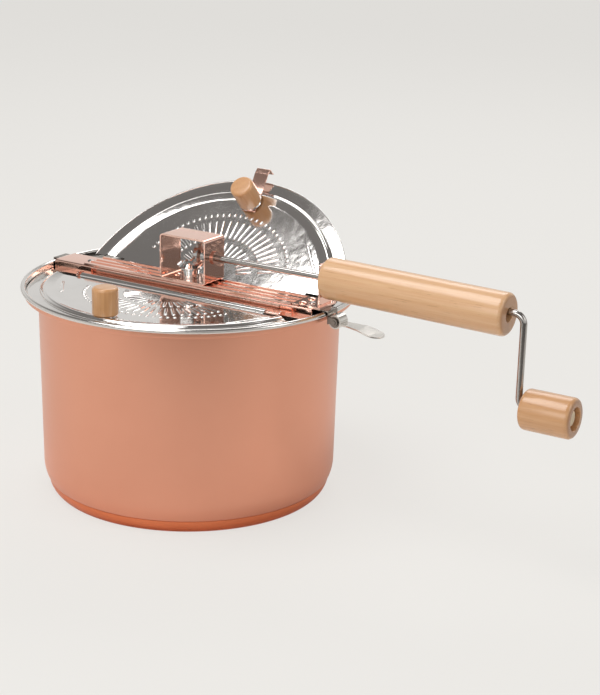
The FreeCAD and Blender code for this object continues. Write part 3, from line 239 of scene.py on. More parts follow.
def handling_group() -> bpy.types.NodeTree:
    """Soft smears and cloth marks of handled metal, as a mask and a height.

    Returns:
        The node group.
    """
    tree, sheet, given, result = new_group(
        "handling_marks",
        {"Vector": ("Vector", None), "Smear Scale": ("Float", 20.0), "Line Scale": ("Float", 900.0),
         "Stretch": ("Vector", (1.0, 1.0, 1.0))},
        {"Smears": "Float", "Lines": "Float"},
    )
    spot = given.outputs["Vector"]
    smears = sheet.add("TexNoise", Vector=spot, Scale=given.outputs["Smear Scale"], Detail=4.0,
                       Roughness=0.55)
    drawn = sheet.scaled(spot, given.outputs["Stretch"])
    lines = sheet.add("TexNoise", Vector=drawn, Scale=given.outputs["Line Scale"], Detail=3.0,
                      Roughness=0.6)
    sheet.fill(result, Smears=sheet.spread(smears.outputs[0], *SMEAR_RANGE), Lines=lines.outputs[0])
    return tree


def wood_group() -> bpy.types.NodeTree:
    """Growth bands, fine fibres and short pores of a turned hardwood, with the grain along X.

    Returns:
        The node group.
    """
    tree, sheet, given, result = new_group(
        "turned_wood",
        {"Vector": ("Vector", None), "Pale": ("Color", (1, 1, 1, 1)),
         "Warm": ("Color", (1, 1, 1, 1)), "Pore": ("Color", (0, 0, 0, 1))},
        {"Color": "Color", "Height": "Float"},
    )
    spot = given.outputs["Vector"]
    bend = sheet.add("TexNoise", Vector=sheet.scaled(spot, SWAY_SCALE), Scale=1.0, Detail=2.0)
    shifted = sheet.add("VectorMath", operation="MULTIPLY_ADD", i0=bend.outputs[1], i1=SWAY,
                        i2=spot)
    bands = sheet.add("TexWave", wave_type="BANDS", bands_direction="Z", Vector=shifted.outputs[0],
                      Scale=58.0, Distortion=1.6, Detail=2.0, Detail_Scale=0.8)
    fibres = sheet.add("TexNoise", Vector=sheet.scaled(spot, FIBRE_SCALE), Scale=1.0, Detail=5.0,
                       Roughness=0.65)
    pores = sheet.add("TexNoise", Vector=sheet.scaled(spot, PORE_SCALE), Scale=1.0, Detail=2.0)
    pore_mask = sheet.spread(pores.outputs[0], *PORE_RANGE)
    tone = sheet.math("ADD", sheet.math("MULTIPLY", bands.outputs[1], BAND_SHARE),
                      sheet.spread(fibres.outputs[0], *FIBRE_RANGE, 0.0, FIBRE_SHARE))
    base = sheet.mix(tone, given.outputs["Pale"], given.outputs["Warm"])
    spotted = sheet.mix(sheet.math("MULTIPLY", pore_mask, PORE_SHARE), base, given.outputs["Pore"])
    sheet.fill(result, Color=spotted, Height=sheet.math("SUBTRACT", fibres.outputs[0], pore_mask))
    return tree


class Effects:
    """The effects that several finishes share, each built once."""

    def __init__(self) -> None:
        """Build the groups."""
        self.handling = handling_group()
        self.wood = wood_group()

    def place(self, sheet: NodeSheet, tree: bpy.types.NodeTree, **values) -> bpy.types.Node:
        """Place a group in a material with its own values.

        Args:
            sheet: The material's node sheet.
            tree: The group.
            **values: Inputs by name, with underscores for spaces.

        Returns:
            The group node.
        """
        node = sheet.tree.nodes.new("ShaderNodeGroup")
        node.node_tree = tree
        sheet.fill(node, **values)
        return node


def start_material(
    name: str,
) -> tuple[bpy.types.Material, NodeSheet, bpy.types.Node, Socket]:
    """Start a node material.

    Args:
        name: The material's name.

    Returns:
        The material, its node sheet, its Principled shader and its Object coordinates.
    """
    material = bpy.data.materials.new(name)
    material.use_nodes = True
    sheet = NodeSheet(material.node_tree)
    shader = material.node_tree.nodes["Principled BSDF"]
    return material, sheet, shader, sheet.add("TexCoord").outputs["Object"]


@dataclass(frozen=True)
class MetalFinish:
    """A metal surface with its colour, sheen, smears and drawn lines."""

    name: str
    colour: Colour
    worn: Colour
    roughness: Point
    grain: Grain = Grain.EVEN
    smear_scale: float = 22.0
    line_scale: float = 900.0
    line_depth: float = 0.02
    smear_share: float = 0.25
    ripple: float = 0.0

    MARK_RANGE = (0.1, 0.9)
    LINE_RELIEF = 0.0004
    RIPPLE_SCALE = 130.0
    RIPPLE_RELIEF = 0.0006

    def build(self, effects: Effects) -> bpy.types.Material:
        """Make the material.

        Args:
            effects: The shared groups.

        Returns:
            The finished material.
        """
        material, sheet, shader, spot = start_material(self.name)
        marks = effects.place(sheet, effects.handling, Vector=spot, Smear_Scale=self.smear_scale,
                              Line_Scale=self.line_scale, Stretch=self.grain.value)
        smears, lines = marks.outputs["Smears"], marks.outputs["Lines"]
        share = sheet.math("MULTIPLY", smears, self.smear_share)
        colour = sheet.mix(share, linear(self.colour), linear(self.worn))
        mixed = sheet.math("ADD", sheet.math("MULTIPLY", smears, 0.5),
                           sheet.math("MULTIPLY", lines, 0.5))
        sheen = sheet.spread(mixed, *self.MARK_RANGE, *self.roughness)
        bump = sheet.add("Bump", Strength=self.line_depth, Distance=self.LINE_RELIEF, Height=lines)
        if self.ripple:
            waves = sheet.add("TexNoise", Vector=spot, Scale=self.RIPPLE_SCALE, Detail=1.0)
            level = sheet.add("Bump", Strength=self.ripple, Distance=self.RIPPLE_RELIEF,
                              Height=waves.outputs[0])
            sheet.fill(bump, Normal=level.outputs[0])
        sheet.fill(shader, Base_Color=colour, Metallic=1.0, Roughness=sheen, Normal=bump.outputs[0])
        return material


@dataclass(frozen=True)
class WoodFinish:
    """Lacquered turned wood, with its grain along one direction and darker end grain."""

    name: str
    pale: Colour
    warm: Colour
    pore: Colour
    along: Spot = (1.0, 0.0, 0.0)
    centre: Spot = (0.0, 0.0, 0.0)
    end_share: float = 0.75
    roughness: float = 0.34
    coat: float = 0.6

    END_RANGE = (0.7, 0.96)
    SMEAR_SCALE = 30.0
    POLISHED, HANDLED = 0.05, 0.08
    COAT_ROUGHNESS = 0.12
    GRAIN_DEPTH = 0.08

    def build(self, effects: Effects) -> bpy.types.Material:
        """Make the material.

        Args:
            effects: The shared groups.

        Returns:
            The finished material.
        """
        material, sheet, shader, spot = start_material(self.name)
        turn = Vector((1.0, 0.0, 0.0)).rotation_difference(Vector(self.along)).to_euler()
        moved = sheet.add("Mapping", vector_type="TEXTURE", Vector=spot, Location=self.centre,
                          Rotation=turn).outputs[0]
        figure = effects.place(sheet, effects.wood, Vector=moved, Pale=linear(self.pale),
                               Warm=linear(self.warm), Pore=linear(self.pore))
        facing = sheet.add("TexCoord").outputs["Normal"]
        lined = sheet.add("VectorMath", operation="DOT_PRODUCT", i0=facing, i1=self.along)
        cut_end = sheet.spread(sheet.math("ABSOLUTE", lined.outputs["Value"]), *self.END_RANGE, 0.0,
                               self.end_share)
        colour = sheet.mix(cut_end, figure.outputs["Color"], linear(self.pore))
        marks = effects.place(sheet, effects.handling, Vector=moved, Smear_Scale=self.SMEAR_SCALE)
        sheen = sheet.spread(marks.outputs["Smears"], 0.0, 1.0, self.roughness - self.POLISHED,
                             self.roughness + self.HANDLED)
        bump = sheet.add("Bump", Strength=self.GRAIN_DEPTH, Distance=FAINT_RELIEF,
                         Height=figure.outputs["Height"])
        sheet.fill(shader, Base_Color=colour, Roughness=sheen, Coat_Weight=self.coat,
                   Coat_Roughness=self.COAT_ROUGHNESS, Normal=bump.outputs[0])
        return material


@dataclass(frozen=True)
class CapFinish:
    """A pale moulded cap with a faint mottle."""

    name: str
    colour: Colour
    shade: Colour
    roughness: float = 0.35

    SMEAR_SCALE = 260.0
    LINE_SCALE = 2200.0
    HANDLED = 0.1
    LINE_DEPTH = 0.05

    def build(self, effects: Effects) -> bpy.types.Material:
        """Make the material.

        Args:
            effects: The shared groups.

        Returns:
            The finished material.
        """
        material, sheet, shader, spot = start_material(self.name)
        marks = effects.place(sheet, effects.handling, Vector=spot, Smear_Scale=self.SMEAR_SCALE,
                              Line_Scale=self.LINE_SCALE)
        smears = marks.outputs["Smears"]
        colour = sheet.mix(smears, linear(self.colour), linear(self.shade))
        sheen = sheet.spread(smears, 0.0, 1.0, self.roughness, self.roughness + self.HANDLED)
        bump = sheet.add("Bump", Strength=self.LINE_DEPTH, Distance=FAINT_RELIEF,
                         Height=marks.outputs["Lines"])
        sheet.fill(shader, Base_Color=colour, Roughness=sheen, Normal=bump.outputs[0])
        return material


class Finishes:
    """Every finish of the popper by its plain name."""

    TABLE = (
        MetalFinish("satin_copper", (235, 170, 143), (226, 158, 131), (0.30, 0.38), Grain.ALONG_Z,
                    smear_scale=7.0, line_depth=0.03, smear_share=0.4),
        MetalFinish("base_copper", (234, 142, 100), (218, 124, 82), (0.28, 0.38), line_depth=0.03,
                    smear_share=0.4),
        MetalFinish("polished_copper", (250, 207, 190), (240, 188, 167), (0.08, 0.16),
                    Grain.ALONG_X, smear_scale=40.0, smear_share=0.3),
        MetalFinish("rim_steel", (226, 223, 219), (212, 208, 204), (0.10, 0.2), smear_scale=30.0),
        MetalFinish("inside_steel", (208, 205, 201), (188, 184, 180), (0.24, 0.36), Grain.ALONG_Z,
                    smear_scale=16.0, line_depth=0.04),
        MetalFinish("lid_steel", (228, 225, 222), (214, 210, 207), (0.05, 0.12), smear_scale=26.0,
                    smear_share=0.2, ripple=0.09),
        MetalFinish("bar_steel", (190, 186, 182), (160, 155, 150), (0.12, 0.22), Grain.ALONG_X),
        MetalFinish("gear_steel", (206, 204, 202), (176, 173, 170), (0.10, 0.22),
                    smear_scale=120.0, smear_share=0.4),
        MetalFinish("tab_steel", (226, 222, 216), (212, 207, 200), (0.16, 0.26), Grain.ALONG_X,
                    smear_scale=90.0),
        MetalFinish("clip_steel", (142, 134, 127), (112, 105, 98), (0.14, 0.24),
                    smear_scale=160.0),
        MetalFinish("small_steel", (186, 183, 180), (150, 146, 142), (0.2, 0.32),
                    smear_scale=200.0, smear_share=0.4),
        MetalFinish("bearing_metal", (186, 150, 104), (160, 124, 80), (0.26, 0.4),
                    smear_scale=160.0, smear_share=0.4),
        WoodFinish("handle_wood", (232, 190, 146), (216, 162, 114), (172, 120, 76),
                   centre=(0.18, 0.004, 0.16)),
        WoodFinish("crank_knob_wood", (218, 170, 124), (200, 144, 94), (152, 102, 62),
                   centre=(0.29, 0.009, 0.10)),
        WoodFinish("front_knob_wood", (218, 166, 114), (198, 140, 88), (158, 106, 64),
                   (0.0, 0.0, 1.0), centre=(-0.003, -0.092, 0.15), end_share=0.1),
        WoodFinish("rear_knob_wood", (222, 170, 120), (202, 144, 92), (166, 112, 68),
                   (0.0, -0.688, 0.725), centre=(0.003, 0.08, 0.21), end_share=0.1),
        CapFinish("pale_cap", (224, 208, 180), (206, 186, 154)),
    )

    def __init__(self) -> None:
        """Build every material."""
        effects = Effects()
        self.made = {finish.name: finish.build(effects) for finish in self.TABLE}

    def dress(self, node: str, finish: str) -> None:
        """Give a CAD node a finish.

        Args:
            node: The node's name.
            finish: The finish's name.
        """
        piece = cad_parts[node]
        piece.data.materials.clear()
        piece.data.materials.append(self.made[finish])
        LOG.info("dressed %s in %s", node, finish)


@dataclass(frozen=True)
class Studio:
    """The floor, the soft lamps and the camera, in metres and degrees."""

    target: Spot = (0.07684, 0.03213, 0.11117)
    distance: float = 1.2416
    azimuth: float = 31.77
    elevation: float = 17.39
    roll: float = 1.39
    lens: float = 86.94
    sensor: float = 36.0
    view_reach: float = 30.0
    floor_reach: float = 12.0
    paper: Colour = (238, 236, 232)
    paper_cloud: Colour = (232, 230, 226)
    paper_share: float = 0.8
    past_table: Colour = (92, 88, 85)
    table_edge: float = 0.4
    edge_width: float = 0.14
    surround_strength: float = 0.9
    lamp_aim: Spot = (0.05, 0.0, 0.1)

    # The tones of the surround between its low and high ends, by their place on the ramp.
    LOW_TONE, HIGH_TONE = (232, 231, 229), (124, 121, 119)
    TONES = ((0.40, (240, 239, 237)), (0.52, (190, 189, 187)), (0.64, (136, 133, 131)))
    TONE_RANGE = (-0.2, 1.0)

    # Each lamp's name, place, width and height, and watts.
    LAMPS = (
        ("key", (-0.31, -0.45, 1.6), (0.9, 0.9), 13.0),
        ("card", (0.2, -1.7, 0.85), (1.4, 0.6), 8.0),
        ("side", (1.8, 0.3, 1.3), (0.6, 1.2), 5.0),
        ("rear", (-0.4, 1.5, 1.6), (1.6, 0.8), 12.0),
    )

    def build(self) -> None:
        """Set up the whole studio."""
        self.camera()
        self.floor()
        self.world()
        self.lamps()
        bpy.context.scene.view_settings.view_transform = "Standard"

    def camera(self) -> None:
        """Place the camera at the photograph's angle."""
        angles = (self.azimuth, self.elevation, self.roll)
        side, rise, tilt = (math.radians(angle) for angle in angles)
        back = Vector((math.sin(side) * math.cos(rise), -math.cos(side) * math.cos(rise),
                       math.sin(rise)))
        level = Vector((math.cos(side), math.sin(side), 0.0))
        upright = back.cross(level)
        right = level * math.cos(tilt) + upright * math.sin(tilt)
        up = upright * math.cos(tilt) - level * math.sin(tilt)
        data = bpy.data.cameras.new("view")
        data.lens = self.lens
        data.sensor_width = self.sensor
        data.clip_end = self.view_reach
        camera = bpy.data.objects.new("view", data)
        turn = Matrix((right, up, back)).transposed().to_4x4()
        camera.matrix_world = Matrix.Translation(Vector(self.target) + back * self.distance) @ turn
        bpy.context.scene.collection.objects.link(camera)
        bpy.context.scene.camera = camera

    def floor(self) -> None:
        """Lay a wide pale floor that keeps the shadow, and that metal mirrors as a table's edge."""
        mesh = bpy.data.meshes.new("floor")
        shape = bmesh.new()
        bmesh.ops.create_grid(shape, x_segments=1, y_segments=1, size=self.floor_reach)
        shape.to_mesh(mesh)
        shape.free()
        floor = bpy.data.objects.new("floor", mesh)
        bpy.context.scene.collection.objects.link(floor)
        material, sheet, shader, spot = start_material("pale_floor")
        cloud = sheet.add("TexNoise", Vector=spot, Scale=2.0, Detail=2.0)
        pale = linear(self.paper)
        path = sheet.add("LightPath")
        side = math.radians(self.azimuth)
        reach = sheet.add("VectorMath", operation="DOT_PRODUCT", i0=spot,
                          i1=(math.sin(side), -math.cos(side), 0.0))
        past = sheet.spread(reach.outputs["Value"], self.table_edge,
                            self.table_edge + self.edge_width)
        mirrored = sheet.math("SUBTRACT", 1.0, path.outputs["Is Camera Ray"])
        paper = sheet.mix(cloud.outputs[0], pale, linear(self.paper_cloud))
        tone = sheet.mix(sheet.math("MULTIPLY", past, mirrored), paper, linear(self.past_table))
        sheet.fill(shader, Base_Color=tone, Roughness=0.6, Specular_IOR_Level=0.2)
        glow = sheet.add("Emission", Color=pale)
        share = sheet.math("MULTIPLY", path.outputs["Is Camera Ray"], self.paper_share)
        blend = sheet.add("MixShader", Fac=share, i1=shader.outputs[0], i2=glow.outputs[0])
        sheet.fill(material.node_tree.nodes["Material Output"], Surface=blend.outputs[0])
        mesh.materials.append(material)

    def world(self) -> None:
        """Surround the scene with light that is pale low down and darker overhead."""
        world = bpy.data.worlds.new("surround")
        world.use_nodes = True
        bpy.context.scene.world = world
        sheet = NodeSheet(world.node_tree)
        ground = world.node_tree.nodes["Background"]
        spot = sheet.add("TexCoord").outputs["Generated"]
        height = sheet.add("SeparateXYZ", Vector=spot).outputs[2]
        ramp = sheet.add("ValToRGB", Fac=sheet.spread(height, *self.TONE_RANGE))
        stops = ramp.color_ramp.elements
        stops[0].position, stops[0].color = 0.0, linear(self.LOW_TONE)
        stops[1].position, stops[1].color = 1.0, linear(self.HIGH_TONE)
        for position, tone in self.TONES:
            stops.new(position).color = linear(tone)
        path = sheet.add("LightPath")
        seen = sheet.mix(path.outputs["Is Camera Ray"], ramp.outputs[0], linear(self.paper))
        sheet.fill(ground, Color=seen, Strength=self.surround_strength)

    def lamps(self) -> None:
        """Hang the large soft lamps."""
        for name, place, size, power in self.LAMPS:
            data = bpy.data.lights.new(name, "AREA")
            data.shape = "RECTANGLE"
            data.size, data.size_y = size
            data.energy = power
            lamp = bpy.data.objects.new(name, data)
            aim = (Vector(self.lamp_aim) - Vector(place)).to_track_quat("-Z", "Y")
            lamp.matrix_world = Matrix.Translation(place) @ aim.to_matrix().to_4x4()
            bpy.context.scene.collection.objects.link(lamp)


class Shaper:
    """Mesh steps that several sub-assemblies share, in millimetres until a piece is finished."""

    WELD = 0.0005
    CAD_WELD = 2e-6
    CAD_FLAT = math.radians(0.6)
    CAD_SHARP = 28.0
    EASED_EDGE = 0.18
    EASED_ANGLE = math.radians(35.0)

    def __init__(self, finishes: Finishes) -> None:
        """Keep the finishes that pieces are dressed in.

        Args:
            finishes: The finishes.
        """
        self.finishes = finishes

    @staticmethod
    def arc(centre: Point, radius: float, start: float, end: float,
            steps: int) -> list[Point]:
        """Points along an arc of a turned outline.

        Args:
            centre: The arc's centre as radius and height.
            radius: The arc's own radius.
            start: Start angle in degrees.
            end: End angle in degrees.
            steps: How many runs it is divided into.

        Returns:
            The points, both ends included.
        """
        angles = [math.radians(start + (end - start) * step / steps) for step in range(steps + 1)]
        across, up = centre
        return [(across + radius * math.cos(a), up + radius * math.sin(a)) for a in angles]

    def turn(self, outline: list[Point], steps: int) -> Shape:
        """Spin a closed outline of radius and height about the Z axis.

        Args:
            outline: The outline's points.
            steps: How many faces go round.

        Returns:
            The mesh.
        """
        shape = bmesh.new()
        spots = [shape.verts.new((radius, 0.0, height)) for radius, height in outline]
        edges = [shape.edges.new(pair) for pair in zip(spots, spots[1:] + spots[:1])]
        bmesh.ops.spin(shape, geom=spots + edges, cent=(0, 0, 0), axis=(0, 0, 1), dvec=(0, 0, 0),
                       angle=math.tau, steps=steps, use_merge=True, use_duplicate=False)
        bmesh.ops.remove_doubles(shape, verts=shape.verts, dist=self.WELD)
        bmesh.ops.recalc_face_normals(shape, faces=shape.faces)
        return shape

    @staticmethod
    def soften(shape: Shape, sharp: float = 32.0) -> None:
        """Shade faces smooth, and keep edges crisp past an angle.

        Args:
            shape: The mesh.
            sharp: The angle in degrees past which an edge stays crisp.
        """
        for face in shape.faces:
            face.smooth = True
        limit = math.radians(sharp)
        for edge in shape.edges:
            edge.smooth = len(edge.link_faces) != 2 or edge.calc_face_angle(0.0) < limit

    def finish(self, name: str, shape: Shape, finishes: list[str], body: Body,
               stands_for: tuple[str, ...] = (), scale: float = MM) -> bpy.types.Object:
        """Turn a mesh into a dressed piece that rides on a body.

        Args:
            name: The piece's name.
            shape: The mesh, which is freed.
            finishes: Finish names, one for each material index.
            body: The body it rides on.
            stands_for: CAD nodes that it replaces.
            scale: Metres for each unit of the mesh.

        Returns:
            The new object.
        """
        bmesh.ops.scale(shape, vec=(scale, scale, scale), verts=shape.verts)
        mesh = bpy.data.meshes.new(name)
        shape.to_mesh(mesh)
        shape.free()
        for label in finishes:
            mesh.materials.append(self.finishes.made[label])
        piece = bpy.data.objects.new(name, mesh)
        bpy.context.scene.collection.objects.link(piece)
        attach(piece, body.value)
        if stands_for:
            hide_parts(*stands_for)
        LOG.info("built %s on %s, %d faces", name, body.value, len(mesh.polygons))
        return piece

    def softened_copy(self, node: str, finish: str, body: Body) -> None:
        """Stand a smooth-shaded copy with eased edges in for a CAD node.

        Args:
            node: The node's name.
            finish: The finish's name.
            body: The body it rides on.
        """
        shape = bmesh.new()
        shape.from_mesh(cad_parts[node].data)
        bmesh.ops.remove_doubles(shape, verts=shape.verts, dist=self.CAD_WELD)
        bmesh.ops.dissolve_limit(shape, angle_limit=self.CAD_FLAT, verts=shape.verts,
                                 edges=shape.edges)
        self.soften(shape, self.CAD_SHARP)
        piece = self.finish(node + "_surface", shape, [finish], body, (node,), 1.0)
        eased = piece.modifiers.new("eased edges", "BEVEL")
        eased.width = self.EASED_EDGE * MM
        eased.segments = 2
        eased.limit_method = "ANGLE"
        eased.angle_limit = self.EASED_ANGLE
        eased.harden_normals = True


@dataclass(frozen=True)
class Pan:
    """The pan's turned wall and the disc under it, in millimetres."""

    shaper: Shaper
    sheet: float = 1.0
    wall_top: float = 111.4
    wall_low: float = 109.6
    corner: float = 28.0
    corner_height: float = 22.0
    inner_corner: float = 20.0
    floor_height: float = 6.2
    floor_ring: float = 40.0
    base_height: float = 5.0
    base_slope: float = 4.1
    seam: float = 9.1
    seam_gap: float = 0.7
    seam_step: float = 1.2
    disc_radius: float = 101.7
    disc_round: float = 12.0
    disc_inset: float = 0.3
    disc_ring: float = 60.0
    ledge: float = 149.8
    ledge_bend: float = 2.0
    riser: float = 120.4
    riser_bend: float = 0.6
    foot_bend: float = 0.5
    bead: float = 1.8
    bead_height: float = 154.2
    steps: int = 288

    # Where copper gives way to steel: under the bead, at the ledge, and inside the bottom's skirt.
    COPPER_BELOW_BEAD = 1.5
    RIM_DEPTH = 1.9
    SKIRT_DEPTH = 3.0
    SKIRT_HEIGHT = 12.0
    UNDERSIDE = -0.5

    def build(self) -> None:
        """Build the wall and the disc."""
        self.wall()
        self.disc()

    def seam_radius(self) -> float:
        """Find how wide the bottom corner is at the seam.

        Returns:
            The radius.
        """
        drop = self.corner_height - self.seam
        return self.wall_low - self.corner + math.sqrt(self.corner**2 - drop**2)

    def seam_angle(self) -> float:
        """Find where the bottom corner's arc leaves the seam.

        Returns:
            The angle on the arc in degrees.
        """
        drop = self.corner_height - (self.seam + self.seam_gap)
        return -math.degrees(math.asin(drop / self.corner))

    def finish_index(self, face: bmesh.types.BMFace) -> int:
        """Choose the finish of one face of the wall.

        Args:
            face: The face.

        Returns:
            0 for the copper outside, 1 for the steel rim and 2 for the steel inside.
        """
        middle = face.calc_center_median()
        faces_out = face.normal.xy.dot(middle.xy) > 0.0
        outward = faces_out or middle.z > self.corner_height and face.normal.z < self.UNDERSIDE
        under_bead = middle.z < self.bead_height - self.COPPER_BELOW_BEAD
        if middle.z > self.ledge - self.RIM_DEPTH and not (outward and under_bead):
            return 1
        skirt = self.SKIRT_DEPTH + max(0.0, self.SKIRT_HEIGHT - middle.z)
        return 0 if outward and math.hypot(middle.x, middle.y) > self.wall_low - skirt else 2

    def wall(self) -> None:
        """Spin the copper wall, the steel rim and the inside in one sheet."""
        arc = self.shaper.arc
        seat = self.seam_radius() - self.seam_step
        under_ledge = self.ledge - self.sheet
        outside = [(seat - self.base_slope, self.base_height), (seat, self.seam),
                   (seat, self.seam + self.seam_gap)]
        outside += arc((self.wall_low - self.corner, self.corner_height), self.corner,
                       self.seam_angle(), 0.0, 12)
        outside += arc((self.wall_top + self.ledge_bend, under_ledge - self.ledge_bend),
                       self.ledge_bend, 180.0, 90.0, 8)
        bend = self.riser_bend
        turn_up = self.riser + self.sheet - bend
        flank = [(turn_up, under_ledge)] + arc((turn_up, under_ledge + bend), bend, -90.0, 0.0, 4)
        low = -math.degrees(math.acos((self.bead - self.sheet) / self.bead))
        bead = arc((self.riser + self.bead, self.bead_height), self.bead, -180.0 - low, 180.0, 36)
        foot = (self.riser - self.foot_bend, self.ledge + self.foot_bend)
        ledge = [(self.riser, foot[1])] + arc(foot, self.foot_bend, 0.0, -90.0, 4)
        inside = arc((self.wall_top, under_ledge), self.sheet, 90.0, 180.0, 6)
        inside += arc((self.wall_low - self.sheet - self.inner_corner,
                       self.floor_height + self.inner_corner), self.inner_corner, 0.0, -90.0, 18)
        inside += [(self.floor_ring, self.floor_height), (0.0, self.floor_height),
                   (0.0, self.base_height)]
        shape = self.shaper.turn(outside + flank + bead + ledge + inside, self.steps)
        for face in shape.faces:
            face.material_index = self.finish_index(face)
        self.shaper.soften(shape)
        self.shaper.finish("pan_wall", shape, ["satin_copper", "rim_steel", "inside_steel"],
                           Body.PAN, ("pan_shell",))

    def disc(self) -> None:
        """Spin the disc that caps the bottom."""
        seam = self.seam_radius()
        first = Vector((self.disc_radius, 0.0))
        last = Vector((seam - self.disc_inset, self.seam))
        chord = last - first
        rise = math.sqrt(self.disc_round**2 - chord.length_squared / 4)
        hub = (first + last) / 2 + Vector((-chord.y, chord.x)).normalized() * rise
        ends = [math.degrees(math.atan2(*(spot - hub).yx)) for spot in (first, last)]
        edge = self.shaper.arc(tuple(hub), self.disc_round, ends[0], ends[1], 10)
        seat = seam - self.seam_step
        top = [(seat, self.seam), (seat - self.base_slope, self.base_height),
               (0.0, self.base_height)]
        shape = self.shaper.turn([(0.0, 0.0), (self.disc_ring, 0.0)] + edge + top, self.steps)
        self.shaper.soften(shape)
        self.shaper.finish("pan_base", shape, ["base_copper"], Body.PAN, ("base_disc",))


@dataclass(frozen=True)
class HalfLid:
    """A pressed half lid with its rolled hinge tube, in millimetres, as the rear lid when shut."""

    shaper: Shaper
    name: str
    node: str
    body: Body
    place: Matrix
    tube: Point = (-81.4, 84.5)
    tube_bore: float = 1.78
    tube_radius: float = 2.8
    tube_edge: float = 0.15
    cut_line: float = 24.2
    notch: float = 28.0
    rib_radius: float = 1.4
    rib_height: float = 151.65
    rib_flatness: float = 0.6
    sharp: float = 40.0
    steps: int = 320

    RIBS = (((-90.0, 32.0), (-75.0, 62.0)), ((68.0, 66.0), (84.0, 45.0)))
    SEAT = ((2.1, 151.4), (8.6, 151.4), (8.2, 151.9), (7.8, 152.9), (7.3, 153.3), (2.1, 153.3))

    # The fan: rays in each ring with their inner and outer reach, then its place and its spread.
    FAN_RINGS = ((17, 22.0, 33.0), (25, 40.0, 56.0), (33, 63.0, 64.0))
    FAN_CENTRE = 28.0
    FAN_START = 16.0
    FAN_SPAN = 148.0
    FAN_SQUEEZE = 0.86

    def build(self) -> None:
        """Press the sheet, trim it, roll the tube and set both in place."""
        shape = self.shaper.turn(self.outline(), self.steps)
        bmesh.ops.translate(shape, vec=(LID_SHIFT, 0.0, 0.0), verts=shape.verts)
        self.trim(shape)
        self.roll_tube(shape)
        self.join(shape, self.shaper.turn(list(self.SEAT), 48),
                  Matrix.Translation((LID_SHIFT, LID_KNOB_REACH, 0.0)))
        for rib in self.RIBS:
            self.rib(shape, *rib)
        self.sunburst(shape)
        bmesh.ops.transform(shape, matrix=self.place, verts=shape.verts)
        self.shaper.soften(shape, self.sharp)
        self.shaper.finish(self.name, shape, ["lid_steel"], self.body, (self.node,))

    def outline(self) -> list[Point]:
        """Draw the pressed section from the centre out along the top and back underneath.

        Returns:
            The outline's points, as radius and height.
        """
        arc = self.shaper.arc
        top = [(0.0, 151.9), (60.0, 151.9), (96.6, 151.9), (97.6, 151.93), (98.6, 152.03)]
        top += arc((104.2, 150.9), 2.25, 112.0, 30.0, 12)
        top += arc((108.3, 151.6), 1.0, 190.0, 270.0, 6) + [(115.4, 150.6), (116.1, 150.6)]
        edge = arc((116.5, 150.5), 0.5, 130.0, -90.0, 10)
        under = [(115.6, 150.0), (107.9, 150.0), (106.6, 150.9), (105.6, 152.0), (104.3, 152.5),
                 (103.0, 152.4), (98.6, 151.45), (96.6, 151.3), (60.0, 151.3), (0.0, 151.3)]
        return top + edge + under

    def trim(self, shape: Shape) -> None:
        """Cut the disc along the hinge and clear the two ears.

        Args:
            shape: The lid's mesh.
        """
        left, right = self.tube
        cuts = (((0, self.cut_line, 0), (0, 1, 0), True), ((left, 0, 0), (1, 0, 0), False),
                ((right, 0, 0), (1, 0, 0), False), ((0, self.notch, 0), (0, 1, 0), False))
        for spot, heading, clears in cuts:
            bmesh.ops.bisect_plane(shape, geom=shape.verts[:] + shape.edges[:] + shape.faces[:],
                                   dist=0.0001, plane_co=spot, plane_no=heading,
                                   clear_inner=clears)
        corners = [face for face in shape.faces if face.calc_center_median().y < self.notch
                   and not left < face.calc_center_median().x < right]
        bmesh.ops.delete(shape, geom=corners, context="FACES")
        open_edges = [edge for edge in shape.edges if edge.is_boundary]
        bmesh.ops.holes_fill(shape, edges=open_edges, sides=0)
        bmesh.ops.recalc_face_normals(shape, faces=shape.faces)

    def roll_tube(self, shape: Shape) -> None:
        """Roll the hinge tube along the trimmed edge.

        Args:
            shape: The lid's mesh.
        """
        left, right = self.tube
        length = right - left
        bore, outer, edge = self.tube_bore, self.tube_radius, self.tube_edge
        section = [(bore, 0.0), (outer - edge, 0.0), (outer, edge), (outer, length - edge),
                   (outer - edge, length), (bore, length)]
        turn = Matrix.Translation((left, *HINGE)) @ Matrix.Rotation(QUARTER_TURN, 4, "Y")
        self.join(shape, self.shaper.turn(section, 40), turn)

    def sunburst(self, shape: Shape) -> None:
        """Press a plain fan of rays, with a row of studs outside it, into the middle of the panel.

        Args:
            shape: The lid's mesh.
        """
        for count, inner, outer in self.FAN_RINGS:
            for step in range(count):
                angle = math.radians(self.FAN_START + self.FAN_SPAN * step / (count - 1))
                across, along = math.cos(angle), math.sin(angle)
                ends = [(reach * across, self.FAN_CENTRE + reach * along * self.FAN_SQUEEZE)
                        for reach in (inner, outer)]
                self.rib(shape, *ends)

    def rib(self, shape: Shape, start: Point,
            end: Point) -> None:
        """Press one round-topped rib between two spots.

        Args:
            shape: The lid's mesh.
            start: One end of the rib.
            end: Its other end.
        """
        run = Vector(end) - Vector(start)
        bar = bmesh.new()
        bmesh.ops.create_uvsphere(bar, u_segments=24, v_segments=12, radius=self.rib_radius)
        far = [vert for vert in bar.verts if vert.co.x > 0.01]
        bmesh.ops.translate(bar, vec=(run.length, 0, 0), verts=far)
        bmesh.ops.scale(bar, vec=(1.0, 1.0, self.rib_flatness), verts=bar.verts)
        heading = Matrix.Rotation(math.atan2(run.y, run.x), 4, "Z")
        self.join(shape, bar, Matrix.Translation((*start, self.rib_height)) @ heading)

